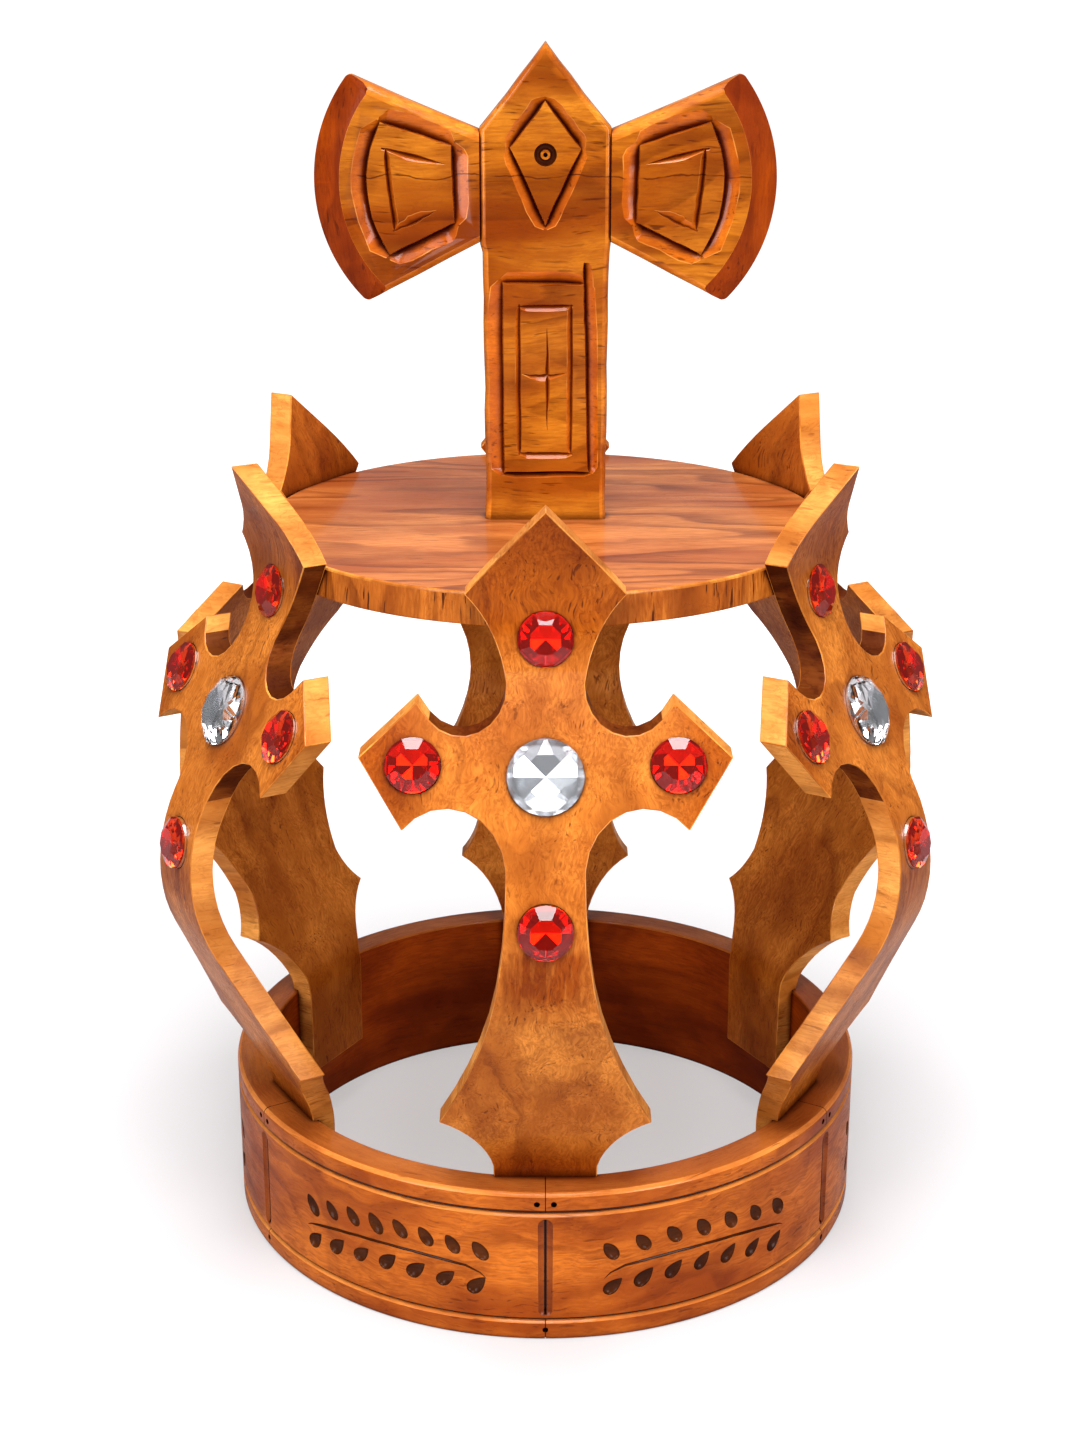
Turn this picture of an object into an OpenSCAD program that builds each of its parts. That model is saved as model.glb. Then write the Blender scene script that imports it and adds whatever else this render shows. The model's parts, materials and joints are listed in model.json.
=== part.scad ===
// Wooden crown: a carved ring, six curved cross-shaped ribs with stones, a disc and a double-bladed axe.
// Millimetres. The ring's bottom centre is the origin, +Z is up and the front rib faces -Y.

/* [Base ring] */
// Outer diameter of the ring
ring_outer_d = 212; // [208:1:216]
// Inner diameter of the ring, that of a large hat
ring_inner_d = 190; // [188:1:192]
// Height of the ring
ring_h = 52; // [48:1:54]
// Width of the two turned grooves
groove_w = 1.8; // [1:0.2:2.4]
// Width of the upright grooves between the panels
divider_w = 4.4; // [2:0.2:6]
// Height of each turned groove's middle from the nearer face
groove_inset = 7; // [6:0.5:8]
// Depth of all carving
carve_depth = 1.2; // [0.6:0.2:2]
// Leaves above the stem of each even sprig; an odd one has one leaf fewer
upper_leaves = 8; // [5:1:8]
// Leaves below the stem of each sprig
lower_leaves = 7; // [4:1:8]
// Length of a leaf
leaf_l = 7.4; // [5:0.2:7.8]
// Width of a leaf
leaf_w = 3.5; // [2:0.1:3.7]

/* [Ribs] */
// Thickness of a rib's plank
rib_t = 7.5; // [6:0.5:9]
// Lowest end of a rib's foot above the floor
foot_z = 20; // [10:1:30]
// Depth of a stone's seat in the rib
seat_depth = 1.5; // [1:0.1:2.5]

/* [Stones] */
// Diameter of a red stone
red_d = 16; // [14:0.5:18]
// Height of a red stone
red_h = 5; // [4:0.5:7]
// Diameter of a clear stone
clear_d = 22; // [20:0.5:24]
// Height of a clear stone
clear_h = 6; // [5:0.5:8]

/* [Disc] */
// Diameter of the disc
disc_d = 177; // [176:0.5:180]
// Thickness of the disc
disc_t = 10; // [8:0.5:12]
// Height of the disc's top
disc_top = 237; // [234:1:240]

/* [Axe] */
// Thickness of the axe's post and blades
axe_t = 10; // [8:0.5:12]
// Width of the post
post_w = 40; // [36:1:44]
// Height of the post's shoulders above the disc
shoulder_h = 121; // [115:1:130]
// Height of the post's point above its shoulders
point_h = 25; // [18:1:30]
// Reach of a blade beyond the post
blade_reach = 50.5; // [46:0.5:54]
// Width of the sloping bevel behind the cutting edge
bevel_w = 8; // [5:0.5:10]
// Thickness of the cutting edge
edge_t = 1.6; // [1:0.2:3]

/* [Hidden] */
$fn = 96;
rib_count = 6;
step_deg = 360 / rib_count;
fit_gap = 0.1;
edge_break = 1;
arc_steps = 6;

// Bends of a rib's outer face, seen from the side: height, distance from the axis, radius of the bend
RIB_PATH = [
    [foot_z, 95.4, 0],
    [55, 95.4, 25],
    [141, 138, 53],
    [234, 90, 36],
    [266, 107, 0],
];

// One half of a rib's outline, seen from outside, from the tip down: end of the run as half width and
// height, then the point that an arc passes through, if the run is one
RIB_HEAD = [
    [[0, 266]],
    [[23, 239]],
    [[11.2, 214], [14.6, 226]],
    [[33, 205], [22, 201]],
    [[36.5, 209.5]],
    [[53, 195.5]],
    [[40.5, 177]],
];
RIB_SHAFT = [
    [[11.3, 167], [27, 182.5]],
    [[32, 77], [15.6, 124]],
];
// The three back ribs have a broad shaft with a second pair of points
BACK_SHAFT = [
    [[31.8, 163], [35, 170.5]],
    [[37.5, 116], [28.6, 145]],
    [[25.5, 90], [28.6, 102]],
    [[32, 77], [27.6, 83]],
];
RIB_FOOT = [
    [[16, 56], [21, 67.5]],
    [[15.5, foot_z]],
];

// Stones of a rib: name, offset to the side, height, diameter, height of the stone, colour
STONES = [
    ["stone_top", 0, 226, red_d, red_h, "crimson"],
    ["stone_left", -37.5, 193.5, red_d, red_h, "crimson"],
    ["stone_right", 37.5, 193.5, red_d, red_h, "crimson"],
    ["stone_middle", 0, 190.5, clear_d, clear_h, "whitesmoke"],
    ["stone_low", 0, 151, red_d, red_h, "crimson"],
];

ring_r = ring_outer_d / 2;
ring_inner_r = ring_inner_d / 2;
reach = 160;

function unit(v) = v / norm(v);

// Middle of the circle through three points
function circle_middle(a, b, c) =
    let (
        turn = 2 * (a.x * (b.y - c.y) + b.x * (c.y - a.y) + c.x * (a.y - b.y)),
        x = (a * a * (b.y - c.y) + b * b * (c.y - a.y) + c * c * (a.y - b.y)) / turn,
        y = (a * a * (c.x - b.x) + b * b * (a.x - c.x) + c * c * (b.x - a.x)) / turn
    ) [x, y];

// Angle nearest to another one among those that point the same way
function near(angle, other) = angle - 360 * round((angle - other) / 360);

// Points of the arc from a through b to c, without a itself
function arc_through(a, b, c, steps = arc_steps) =
    let (
        m = circle_middle(a, b, c),
        from = atan2(a.y - m.y, a.x - m.x),
        half = near(atan2(b.y - m.y, b.x - m.x), from),
        to = near(atan2(c.y - m.y, c.x - m.x), half)
    ) [for (k = [1:steps]) let (t = from + (to - from) * k / steps) m + norm(a - m) * [cos(t), sin(t)]];

// Points of a half outline whose rows are straight runs and arcs
function outline(rows) = [
    for (i = [0:len(rows) - 1])
        each (len(rows[i]) == 1 ? [rows[i][0]] : arc_through(rows[i - 1][0], rows[i][1], rows[i][0]))
];

// Rows of rib i's half outline
function rib_rows(i) = concat(RIB_HEAD, (i > 2 && i < 6) ? BACK_SHAFT : RIB_SHAFT, RIB_FOOT);

// A half outline joined to its mirror image
function both_halves(half) = concat(
    half, [for (i = [len(half) - 1:-1:0]) if (half[i].x > 0) [-half[i].x, half[i].y]]
);

// Points of the bend at corner b between a and c
function bend(a, b, c, radius, steps = arc_steps) =
    let (
        u = unit(a - b),
        v = unit(c - b),
        half = acos(u * v) / 2,
        m = b + unit(u + v) * radius / sin(half),
        from = atan2((b + u * radius / tan(half) - m).y, (b + u * radius / tan(half) - m).x),
        end = b + v * radius / tan(half) - m,
        to = near(atan2(end.y, end.x), from)
    ) [for (k = [0:steps]) let (t = from + (to - from) * k / steps) m + radius * [cos(t), sin(t)]];

// Points of a path whose rows are height, distance from the axis and radius of the bend
function bent_path(rows) = [
    for (i = [0:len(rows) - 1])
        let (p = [rows[i][1], rows[i][0]])
            each (rows[i][2] == 0 ? [p]
                : bend([rows[i - 1][1], rows[i - 1][0]], p, [rows[i + 1][1], rows[i + 1][0]], rows[i][2]))
];

// Direction square to a path at one of its points, to its left, long enough for a mitred corner
function left_of(path, i, closed) =
    let (
        n = len(path),
        before = i > 0 || closed ? unit(path[i] - path[(i + n - 1) % n]) : unit(path[1] - path[0]),
        after = i < n - 1 || closed ? unit(path[(i + 1) % n] - path[i]) : before,
        middle = unit(before + after)
    ) [-middle.y, middle.x] / (middle * before);

// A path moved to its left
function moved(path, by, closed = false) = [
    for (i = [0:len(path) - 1]) path[i] + left_of(path, i, closed) * by
];

// Outline of a groove of even width along a path
function stroke(path, width) = concat(moved(path, width / 2), [
    let (right = moved(path, -width / 2)) for (i = [len(right) - 1:-1:0]) right[i]
]);

// Groove of even width along a closed path that runs clockwise
module ring_stroke(path, width) {
    difference() {
        polygon(moved(path, width / 2, true));
        polygon(moved(path, -width / 2, true));
    }
}

rib_face = bent_path(RIB_PATH);
rib_side = concat(rib_face, [let (back = moved(rib_face, rib_t)) for (i = [len(back) - 1:-1:0]) back[i]]);
face_by_height = [for (p = rib_face) [p.y, p.x]];

// Distance of a rib's outer face from the axis, and how fast it grows with height
function face_r(z) = lookup(z, face_by_height);
function face_slope(z) = (face_r(z + 6) - face_r(z - 6)) / 12;

// Puts its children on rib i
module on_rib(i) {
    rotate([0, 0, (i - 1) * step_deg]) children();
}

// Puts its children on the outer face of the front rib, their Z axis pointing out of the face
module on_face(side, z) {
    translate([side, -face_r(z), z]) rotate([90 + atan(face_slope(z)), 0, 0]) children();
}

// Plain body of the ring, with both turned grooves
module turned_ring() {
    rotate_extrude() polygon([
        [ring_inner_r + edge_break, 0],
        [ring_r - edge_break, 0],
        [ring_r, edge_break],
        [ring_r, groove_inset - groove_w / 2],
        [ring_r - carve_depth, groove_inset],
        [ring_r, groove_inset + groove_w / 2],
        [ring_r, ring_h - groove_inset - groove_w / 2],
        [ring_r - carve_depth, ring_h - groove_inset],
        [ring_r, ring_h - groove_inset + groove_w / 2],
        [ring_r, ring_h - edge_break],
        [ring_r - edge_break, ring_h],
        [ring_inner_r + edge_break, ring_h],
        [ring_inner_r, ring_h - edge_break],
        [ring_inner_r, edge_break],
    ]);
}

// Pointed oval of one leaf, its middle at the origin
module leaf() {
    right = arc_through([0, -leaf_l / 2], [leaf_w / 2, 0], [0, leaf_l / 2], 4);
    polygon(concat([[0, -leaf_l / 2]], right, [for (i = [len(right) - 2:-1:0]) [-right[i].x, right[i].y]]));
}

// Rows of a sprig: leaves, how many fewer on an odd panel, height at the top of the arch, angles of the
// first and the last, lean
LEAF_ROWS = [
    [upper_leaves, 1, 33.4, -19, 14.5, 38],
    [lower_leaves, 0, 20.9, -18.5, 14, -44],
];
stem_w = 1;
stem_top = 26.8;
stem_angles = [-21, -17, -13, -9, -5, -1, 3, 7, 11, 15, 18];
arch_angle = -4;
arch_sag = 0.011;

// Place of an angle from the middle of a panel, on an arch with its top at height top
function on_arch(a, top) = [ring_r * sin(a), top - arch_sag * (a - arch_angle) * (a - arch_angle)];

// One sprig as a flat drawing on the plane that touches the middle of a panel. It starts at the left on an
// odd panel and at the right on an even one, and its leaves lean to the same side on both.
module sprig(odd) {
    side = odd ? 1 : -1;
    mirror([odd ? 0 : 1, 0, 0]) {
        polygon(stroke([for (a = stem_angles) on_arch(a, stem_top)], stem_w));
        for (row = LEAF_ROWS) {
            last = row[0] - (odd ? row[1] : 0) - 1;
            for (k = [0:last]) {
                angle = row[3] + (row[4] - row[3]) * k / last;
                translate(on_arch(angle, row[2])) rotate(side * row[5]) leaf();
            }
        }
    }
}

// Cutter of the leaves of the panel after rib i
module sprig_cut(i) {
    rotate([0, 0, (i - 0.5) * step_deg]) intersection() {
        rotate([90, 0, 0]) linear_extrude(height = ring_r + 5) sprig(i % 2 == 1);
        difference() {
            cylinder(r = ring_r + 2, h = ring_h);
            translate([0, 0, -1]) cylinder(r = ring_r - carve_depth, h = ring_h + 2);
        }
    }
}

divider_depth = carve_depth + 0.2;
divider_end = groove_inset + groove_w / 4;
nail_d = 1.8;
nail_depth = 3;
// Nail holes at a divider: offset to the side, height
NAILS = [[-2.6, ring_h - 3.6], [2.6, ring_h - 3.6], [0, 3.6]];

module base_ring() {
    color("sienna") difference() {
        turned_ring();
        for (i = [1:rib_count]) on_rib(i) {
            translate([0, -ring_r, divider_end]) linear_extrude(height = ring_h - 2 * divider_end)
                polygon([[-divider_w / 2, -0.1], [divider_w / 2, -0.1], [0, divider_depth]]);
            for (n = NAILS) translate([n.x, -ring_r + nail_depth, n.y])
                rotate([90, 0, 0]) cylinder(d = nail_d, h = nail_depth + 2);
        }
        for (i = [1:rib_count]) sprig_cut(i);
    }
}

module top_disc() {
    r = disc_d / 2;
    color("peru") translate([0, 0, disc_top - disc_t]) rotate_extrude() polygon([
        [0, 0],
        [r - edge_break, 0],
        [r, edge_break],
        [r, disc_t - edge_break],
        [r - edge_break, disc_t],
        [0, disc_t],
    ]);
}

// Space that the ring and the disc take out of a rib
module rib_clearance() {
    difference() {
        translate([0, 0, -1]) cylinder(r = reach, h = ring_h + fit_gap + 1);
        translate([0, 0, -2]) cylinder(r = ring_inner_r - fit_gap, h = ring_h + 4);
    }
    translate([0, 0, disc_top - disc_t - fit_gap])
        cylinder(d = disc_d + 2 * fit_gap, h = disc_t + 2 * fit_gap);
}

module rib(i) {
    color("goldenrod") on_rib(i) difference() {
        intersection() {
            rotate([90, 0, -90]) linear_extrude(height = reach, center = true) polygon(rib_side);
            rotate([90, 0, 0]) linear_extrude(height = reach) polygon(both_halves(outline(rib_rows(i))));
        }
        rib_clearance();
        for (s = STONES) on_face(s[1], s[2])
            translate([0, 0, -seat_depth]) cylinder(d = s[3] + 2 * fit_gap, h = 12);
    }
}

table_part = 0.55;
kite_part = 0.82;
girdle_part = 0.45;

// Round cut stone on its flat back: a table, eight star facets, eight kites and sixteen girdle facets
module cut_stone(d, h) {
    r = d / 2;
    girdle_z = h * girdle_part;
    table_r = r * table_part;
    kite_r = r * kite_part;
    slope = (h - girdle_z) / (r - table_r);
    kite_z = h - (kite_r * cos(22.5) - table_r) * slope;
    function ring_point(k, radius, z) = [radius * cos(k * 22.5), radius * sin(k * 22.5), z];
    points = concat(
        [for (k = [0:15]) ring_point(k, r, 0)],
        [for (k = [0:15]) ring_point(k, r, girdle_z)],
        [for (k = [0:7]) ring_point(2 * k + 1, kite_r, kite_z)],
        [for (k = [0:7]) ring_point(2 * k, table_r, h)]
    );
    function low(k) = k % 16;
    function girdle(k) = 16 + k % 16;
    function kite(k) = 32 + (k + 8) % 8;
    function table(k) = 40 + k % 8;
    faces = concat(
        [[for (k = [0:15]) low(k)]],
        [[for (k = [7:-1:0]) table(k)]],
        [for (k = [0:15]) [low(k), girdle(k), girdle(k + 1), low(k + 1)]],
        [for (k = [0:7]) [table(k), table(k + 1), kite(k)]],
        [for (k = [0:7]) [table(k), kite(k), girdle(2 * k), kite(k - 1)]],
        [for (k = [0:7]) [kite(k), girdle(2 * k + 1), girdle(2 * k)]],
        [for (k = [0:7]) [kite(k), girdle(2 * k + 2), girdle(2 * k + 1)]]
    );
    polyhedron(points = points, faces = faces);
}

module stone(s, i) {
    color(s[5]) on_rib(i) on_face(s[1], s[2])
        translate([0, 0, fit_gap / 2 - seat_depth]) cut_stone(s[3], s[4]);
}

// All that lies to the left of the edge from p to q of a board, its two rims there sloped by size
module left_side(p, q, size) {
    run = q - p;
    rim_z = axe_t / 2 - size;
    translate([p.x, p.y, 0]) rotate([0, 0, atan2(run.y, run.x)]) rotate([90, 0, 90])
        linear_extrude(height = 2 * reach, center = true)
            polygon([[0, -rim_z], [reach, -rim_z - reach], [reach, rim_z + reach], [0, rim_z]]);
}

// Flat drawing cut into both faces of a board
module both_faces(depth) {
    for (side = [0, 1]) mirror([0, 0, side])
        translate([0, 0, axe_t / 2 - depth]) linear_extrude(height = depth + 2) children();
}

// Stands a board that was drawn flat on the disc, its front to -Y
module stand() {
    translate([0, 0, disc_top]) rotate([90, 0, 0]) children();
}

post_half = post_w / 2;
diamond_z = shoulder_h - 6;
// Diamonds of the post's carving: half width, height above and below the side corners
DIAMOND_OUTER = [14.2, 17, 27];
DIAMOND_INNER = [11, 13.5, 22.5];
drill_outer_r = 3.5;
drill_inner_r = 1.5;
drill_hole_r = 0.8;
panel_bottom = 15;
panel_top = 75;
panel_half = 13.5;
board_half = 8;
board_margin = 7;
cross_line = 1.2;
cross_low = 29;
cross_l = 31;
cross_arm_z = 45.7;
cross_arm_l = 13;
top_rim = 2.5;
low_rim = 1.5;

// Diamond with its side corners at height zero
module diamond(sizes) {
    polygon([[-sizes[0], 0], [0, -sizes[2]], [sizes[0], 0], [0, sizes[1]]]);
}

// Carving of the post: a diamond with a drilled ring above a panel with a cross mark
module post_carving() {
    translate([0, diamond_z]) {
        difference() {
            diamond(DIAMOND_OUTER);
            diamond(DIAMOND_INNER);
        }
        difference() {
            circle(r = drill_outer_r);
            circle(r = drill_inner_r);
        }
        circle(r = drill_hole_r);
    }
    difference() {
        translate([-panel_half, panel_bottom]) square([2 * panel_half, panel_top - panel_bottom]);
        translate([-board_half, panel_bottom + board_margin])
            square([2 * board_half, panel_top - panel_bottom - 2 * board_margin]);
    }
    translate([-cross_line / 2, cross_low]) square([cross_line, cross_l]);
    translate([-cross_arm_l / 2, cross_arm_z]) square([cross_arm_l, cross_line]);
}

module axe_post() {
    foot = [post_half, 0];
    shoulder = [post_half, shoulder_h];
    point = [0, shoulder_h + point_h];
    color("darkorange") stand() difference() {
        intersection() {
            translate([-reach, 0, -axe_t / 2]) cube([2 * reach, reach, axe_t]);
            left_side(foot, shoulder, edge_break);
            left_side(shoulder, point, top_rim);
            left_side(point, [-shoulder.x, shoulder.y], top_rim);
            left_side([-shoulder.x, shoulder.y], [-foot.x, foot.y], edge_break);
        }
        both_faces(carve_depth) post_carving();
    }
}

// Grooves of a blade, as places beyond the post's side: a closed fan round a C that opens to the post
FAN_INNER = [[8, 93], [8, 116.3], [29.5, 123]];
FAN_ARC = [[29.5, 123], [34.5, 107], [27.5, 83.5]];
C_LINE = [[11, 110.5], [28, 115], [27.5, 102], [26, 91], [13, 97]];
line_w = 1.8;

module blade_carving() {
    ring_stroke(concat(FAN_INNER, arc_through(FAN_ARC[0], FAN_ARC[1], FAN_ARC[2], 5)), line_w);
    polygon(stroke(C_LINE, line_w));
}

edge_r = 51;
edge_middle_z = 105;
// Directions of a blade's top and bottom edges, away from the post
TOP_RUN = [65, 27.5];
LOW_RUN = [65, -34];

module blade() {
    middle = [blade_reach - edge_r, edge_middle_z];
    top_near = [0, shoulder_h - 0.5];
    low_near = [0, shoulder_h - 34];
    difference() {
        intersection() {
            translate([0, 0, -axe_t]) cube([reach, 2 * reach, 2 * axe_t]);
            left_side(top_near + TOP_RUN, top_near, top_rim);
            left_side(low_near, low_near + LOW_RUN, low_rim);
            translate([middle.x, middle.y, 0]) rotate_extrude() polygon([
                [0, -axe_t / 2],
                [edge_r - bevel_w, -axe_t / 2],
                [edge_r, -edge_t / 2],
                [edge_r, edge_t / 2],
                [edge_r - bevel_w, axe_t / 2],
                [0, axe_t / 2],
            ]);
        }
        both_faces(carve_depth) blade_carving();
    }
}

module axe_blade_right() {
    color("orange") stand() translate([post_half + fit_gap, 0, 0]) blade();
}

module axe_blade_left() {
    mirror([1, 0, 0]) axe_blade_right();
}

base_ring();
top_disc();
axe_post();
axe_blade_left();
axe_blade_right();
for (i = [1:rib_count]) rib(i);
for (s = STONES, i = [1:rib_count]) stone(s, i);
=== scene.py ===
import json
import math
import random

import bmesh
import bpy
from mathutils import Matrix, Vector

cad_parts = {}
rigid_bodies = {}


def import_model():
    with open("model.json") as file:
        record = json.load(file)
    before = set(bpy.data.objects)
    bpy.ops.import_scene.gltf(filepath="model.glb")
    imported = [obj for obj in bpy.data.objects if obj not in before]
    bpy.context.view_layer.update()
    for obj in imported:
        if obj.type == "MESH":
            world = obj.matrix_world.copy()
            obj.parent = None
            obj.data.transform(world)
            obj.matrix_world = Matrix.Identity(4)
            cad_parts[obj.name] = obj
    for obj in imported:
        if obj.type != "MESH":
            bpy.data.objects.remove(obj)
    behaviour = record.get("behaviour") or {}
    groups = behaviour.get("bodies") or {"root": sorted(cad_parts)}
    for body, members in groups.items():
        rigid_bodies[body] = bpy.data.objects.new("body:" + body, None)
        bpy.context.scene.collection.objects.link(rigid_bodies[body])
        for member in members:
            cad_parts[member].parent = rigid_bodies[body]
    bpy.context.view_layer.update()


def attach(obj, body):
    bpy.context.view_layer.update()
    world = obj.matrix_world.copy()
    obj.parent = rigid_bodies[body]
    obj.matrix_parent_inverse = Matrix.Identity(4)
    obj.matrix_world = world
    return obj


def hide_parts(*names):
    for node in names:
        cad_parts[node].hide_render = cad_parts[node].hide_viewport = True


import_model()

MM = 0.001
# Points closer than this are one, and edges sharper than this many degrees are worn round and given a
# lighter finish, a painted highlight
CLEAN = 0.01
WORN_ANGLE = 35
RIB_COUNT = 6
STEP = math.tau / RIB_COUNT


# Small tools for drawing and cutting, sizes in millimetres

def at(point):
    """A place given in millimetres."""
    return Vector(point) * MM


def start_piece(name):
    """A new empty mesh at the origin, in edit mode."""
    if bpy.context.object and bpy.context.object.mode == "EDIT":
        bpy.ops.object.mode_set(mode="OBJECT")
    bpy.ops.object.select_all(action="DESELECT")
    bpy.ops.mesh.primitive_plane_add(size=MM)
    piece = bpy.context.object
    piece.name = name
    piece.data.name = name
    bpy.ops.object.mode_set(mode="EDIT")
    bpy.ops.mesh.delete(type="VERT")
    return piece


def end_piece():
    """Leaves edit mode with doubles merged and normals outward."""
    bpy.ops.mesh.select_all(action="SELECT")
    bpy.ops.mesh.remove_doubles(threshold=CLEAN * MM)
    bpy.ops.mesh.normals_make_consistent(inside=False)
    bpy.ops.object.mode_set(mode="OBJECT")
    return bpy.context.object


def draw(points, closed=True):
    """Draws a line point by point, and fills it if it is closed. It ends up selected."""
    bpy.ops.mesh.select_all(action="DESELECT")
    bpy.ops.mesh.primitive_plane_add(size=MM, location=at(points[0]))
    bpy.ops.mesh.merge(type="CENTER")
    for before, point in zip(points, points[1:]):
        step = at(point) - at(before)
        bpy.ops.mesh.extrude_vertices_move(TRANSFORM_OT_translate={"value": step})
    bpy.ops.mesh.select_linked()
    if closed:
        bpy.ops.mesh.edge_face_add()


def prism(name, points, run):
    """A closed solid with a drawn outline, pulled along run."""
    start_piece(name)
    draw(points)
    bpy.ops.mesh.extrude_region_move(TRANSFORM_OT_translate={"value": at(run)})
    return end_piece()


def lathe(name, profile, steps=192, closed=True):
    """A solid turned about the Z axis from a profile of distances and heights."""
    start_piece(name)
    draw([(r, 0, z) for r, z in profile], closed=False)
    if closed:
        bpy.ops.mesh.edge_face_add()
        bpy.ops.mesh.delete(type="ONLY_FACE")
        bpy.ops.mesh.select_all(action="SELECT")
    bpy.ops.mesh.spin(steps=steps, angle=math.tau, center=(0, 0, 0), axis=(0, 0, 1))
    return end_piece()


def drum(name, radius, low, high, sides=192):
    """A plain round cutter between two heights."""
    bpy.ops.object.select_all(action="DESELECT")
    middle = (0, 0, (low + high) / 2 * MM)
    bpy.ops.mesh.primitive_cylinder_add(
        vertices=sides, radius=radius * MM, depth=(high - low) * MM, location=middle)
    piece = bpy.context.object
    piece.name = name
    return placed(piece, Matrix.Identity(4))


def placed(piece, matrix):
    """Puts the piece's place and a further move into its mesh."""
    piece.data.transform(matrix @ piece.matrix_basis)
    piece.matrix_basis = Matrix.Identity(4)
    if matrix.determinant() < 0:
        piece.data.flip_normals()
    return piece


def twin(piece, name, matrix):
    """A moved copy with a mesh of its own."""
    other = piece.copy()
    other.data = piece.data.copy()
    other.name = name
    other.data.name = name
    bpy.context.scene.collection.objects.link(other)
    return placed(other, matrix)


def pick(piece):
    """Selects one piece and nothing else."""
    bpy.ops.object.select_all(action="DESELECT")
    piece.select_set(True)
    bpy.context.view_layer.objects.active = piece


def edit(piece):
    """Opens a piece in edit mode with all of it selected."""
    pick(piece)
    bpy.ops.object.mode_set(mode="EDIT")
    bpy.ops.mesh.select_all(action="SELECT")


def joined(pieces, name):
    """Several pieces as one."""
    pick(pieces[0])
    for piece in pieces[1:]:
        piece.select_set(True)
    if len(pieces) > 1:
        bpy.ops.object.join()
    pieces[0].name = name
    pieces[0].data.name = name
    return pieces[0]


def finish_with(piece, kind, **settings):
    """Adds one modifier and applies it."""
    pick(piece)
    modifier = piece.modifiers.new(kind.title(), kind)
    for key, value in settings.items():
        setattr(modifier, key, value)
    bpy.ops.object.modifier_apply(modifier=modifier.name)
    return piece


def carve(piece, cutter, operation="DIFFERENCE"):
    """Cuts one piece with another, whose own finish stays on the cut faces."""
    finish_with(piece, "BOOLEAN", object=cutter, operation=operation, solver="EXACT",
                material_mode="TRANSFER")
    bpy.data.meshes.remove(cutter.data)
    return piece


def wear_and_highlight(piece, width, edge_slot):
    """Rounds the sharp edges and gives them the finish of a slot, a lighter one that paints a highlight
    along them.
    """
    return finish_with(piece, "BEVEL", width=width * MM, segments=2, limit_method="ANGLE",
                       angle_limit=math.radians(WORN_ANGLE), material=edge_slot,
                       use_clamp_overlap=False, miter_outer="MITER_SHARP")


def merge_close(piece, distance):
    """Joins points that lie closer together than a distance."""
    edit(piece)
    bpy.ops.mesh.remove_doubles(threshold=distance * MM)
    bpy.ops.object.mode_set(mode="OBJECT")


def merge_flats(piece):
    """Joins neighbouring faces that lie in one plane."""
    edit(piece)
    bpy.ops.mesh.dissolve_limited(angle_limit=math.radians(0.05), delimit={"MATERIAL"})
    bpy.ops.object.mode_set(mode="OBJECT")


def smooth(piece, angle=30):
    """Smooth shading over small angles, with flat faces kept flat."""
    pick(piece)
    bpy.ops.object.shade_smooth_by_angle(angle=math.radians(angle))
    return finish_with(piece, "WEIGHTED_NORMAL", keep_sharp=True, weight=100)


def dress(piece, *finishes):
    """Gives a piece its finishes, in the order of its slots."""
    piece.data.materials.clear()
    for finish in finishes:
        piece.data.materials.append(finish)
    return piece


def hand_in(piece, slot, *nodes):
    """Sets a finished piece in the place of its CAD nodes."""
    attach(piece, "root")
    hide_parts(*nodes)
    return piece


def arc_through(a, b, c, steps=8):
    """Points of the arc from a through b to c, without a."""
    (ax, ay), (bx, by), (cx, cy) = a, b, c
    turn = 2 * (ax * (by - cy) + bx * (cy - ay) + cx * (ay - by))
    sa, sb, sc = ax * ax + ay * ay, bx * bx + by * by, cx * cx + cy * cy
    mx = (sa * (by - cy) + sb * (cy - ay) + sc * (ay - by)) / turn
    my = (sa * (cx - bx) + sb * (ax - cx) + sc * (bx - ax)) / turn
    radius = math.hypot(ax - mx, ay - my)
    start = math.atan2(ay - my, ax - mx)
    half = near(math.atan2(by - my, bx - mx), start)
    end = near(math.atan2(cy - my, cx - mx), half)
    angles = [start + (end - start) * k / steps for k in range(1, steps + 1)]
    return [(mx + radius * math.cos(t), my + radius * math.sin(t)) for t in angles]


def near(angle, other):
    """The angle nearest to another one among those that point the same way."""
    return angle - math.tau * round((angle - other) / math.tau)


def bend(a, b, c, radius, steps=10):
    """Points of the bend at corner b between a and c."""
    a, b, c = Vector(a), Vector(b), Vector(c)
    u, v = (a - b).normalized(), (c - b).normalized()
    half = u.angle(v) / 2
    middle = b + (u + v).normalized() * radius / math.sin(half)
    first = b + u * radius / math.tan(half) - middle
    last = b + v * radius / math.tan(half) - middle
    start = math.atan2(first.y, first.x)
    end = near(math.atan2(last.y, last.x), start)
    angles = [start + (end - start) * k / steps for k in range(steps + 1)]
    return [middle + radius * Vector((math.cos(t), math.sin(t))) for t in angles]


def moved(path, by):
    """An open path moved to its left, its corners mitred."""
    out = []
    for i, point in enumerate(path):
        before = (path[i] - path[i - 1]).normalized() if i else None
        after = (path[i + 1] - path[i]).normalized() if i < len(path) - 1 else before
        before = before or after
        middle = (before + after).normalized()
        out.append(point + Vector((-middle.y, middle.x)) * by / middle.dot(before))
    return out


# Shape of the ribs, as the solids have it

RIB_THICK = 7.5
RIB_EDGE_R = 0.33
FOOT_Z = 20
# The round seats of the stones, and the air at each joint
SEAT_DEPTH = 1.5
GAP = 0.1
# How far cutters and blanks reach beyond what they make: a rib's blank inward and aside, and the rest
REACH = 160
FORM_HALF = 62
BEYOND = 8
SEAT_OVER = 12
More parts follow.
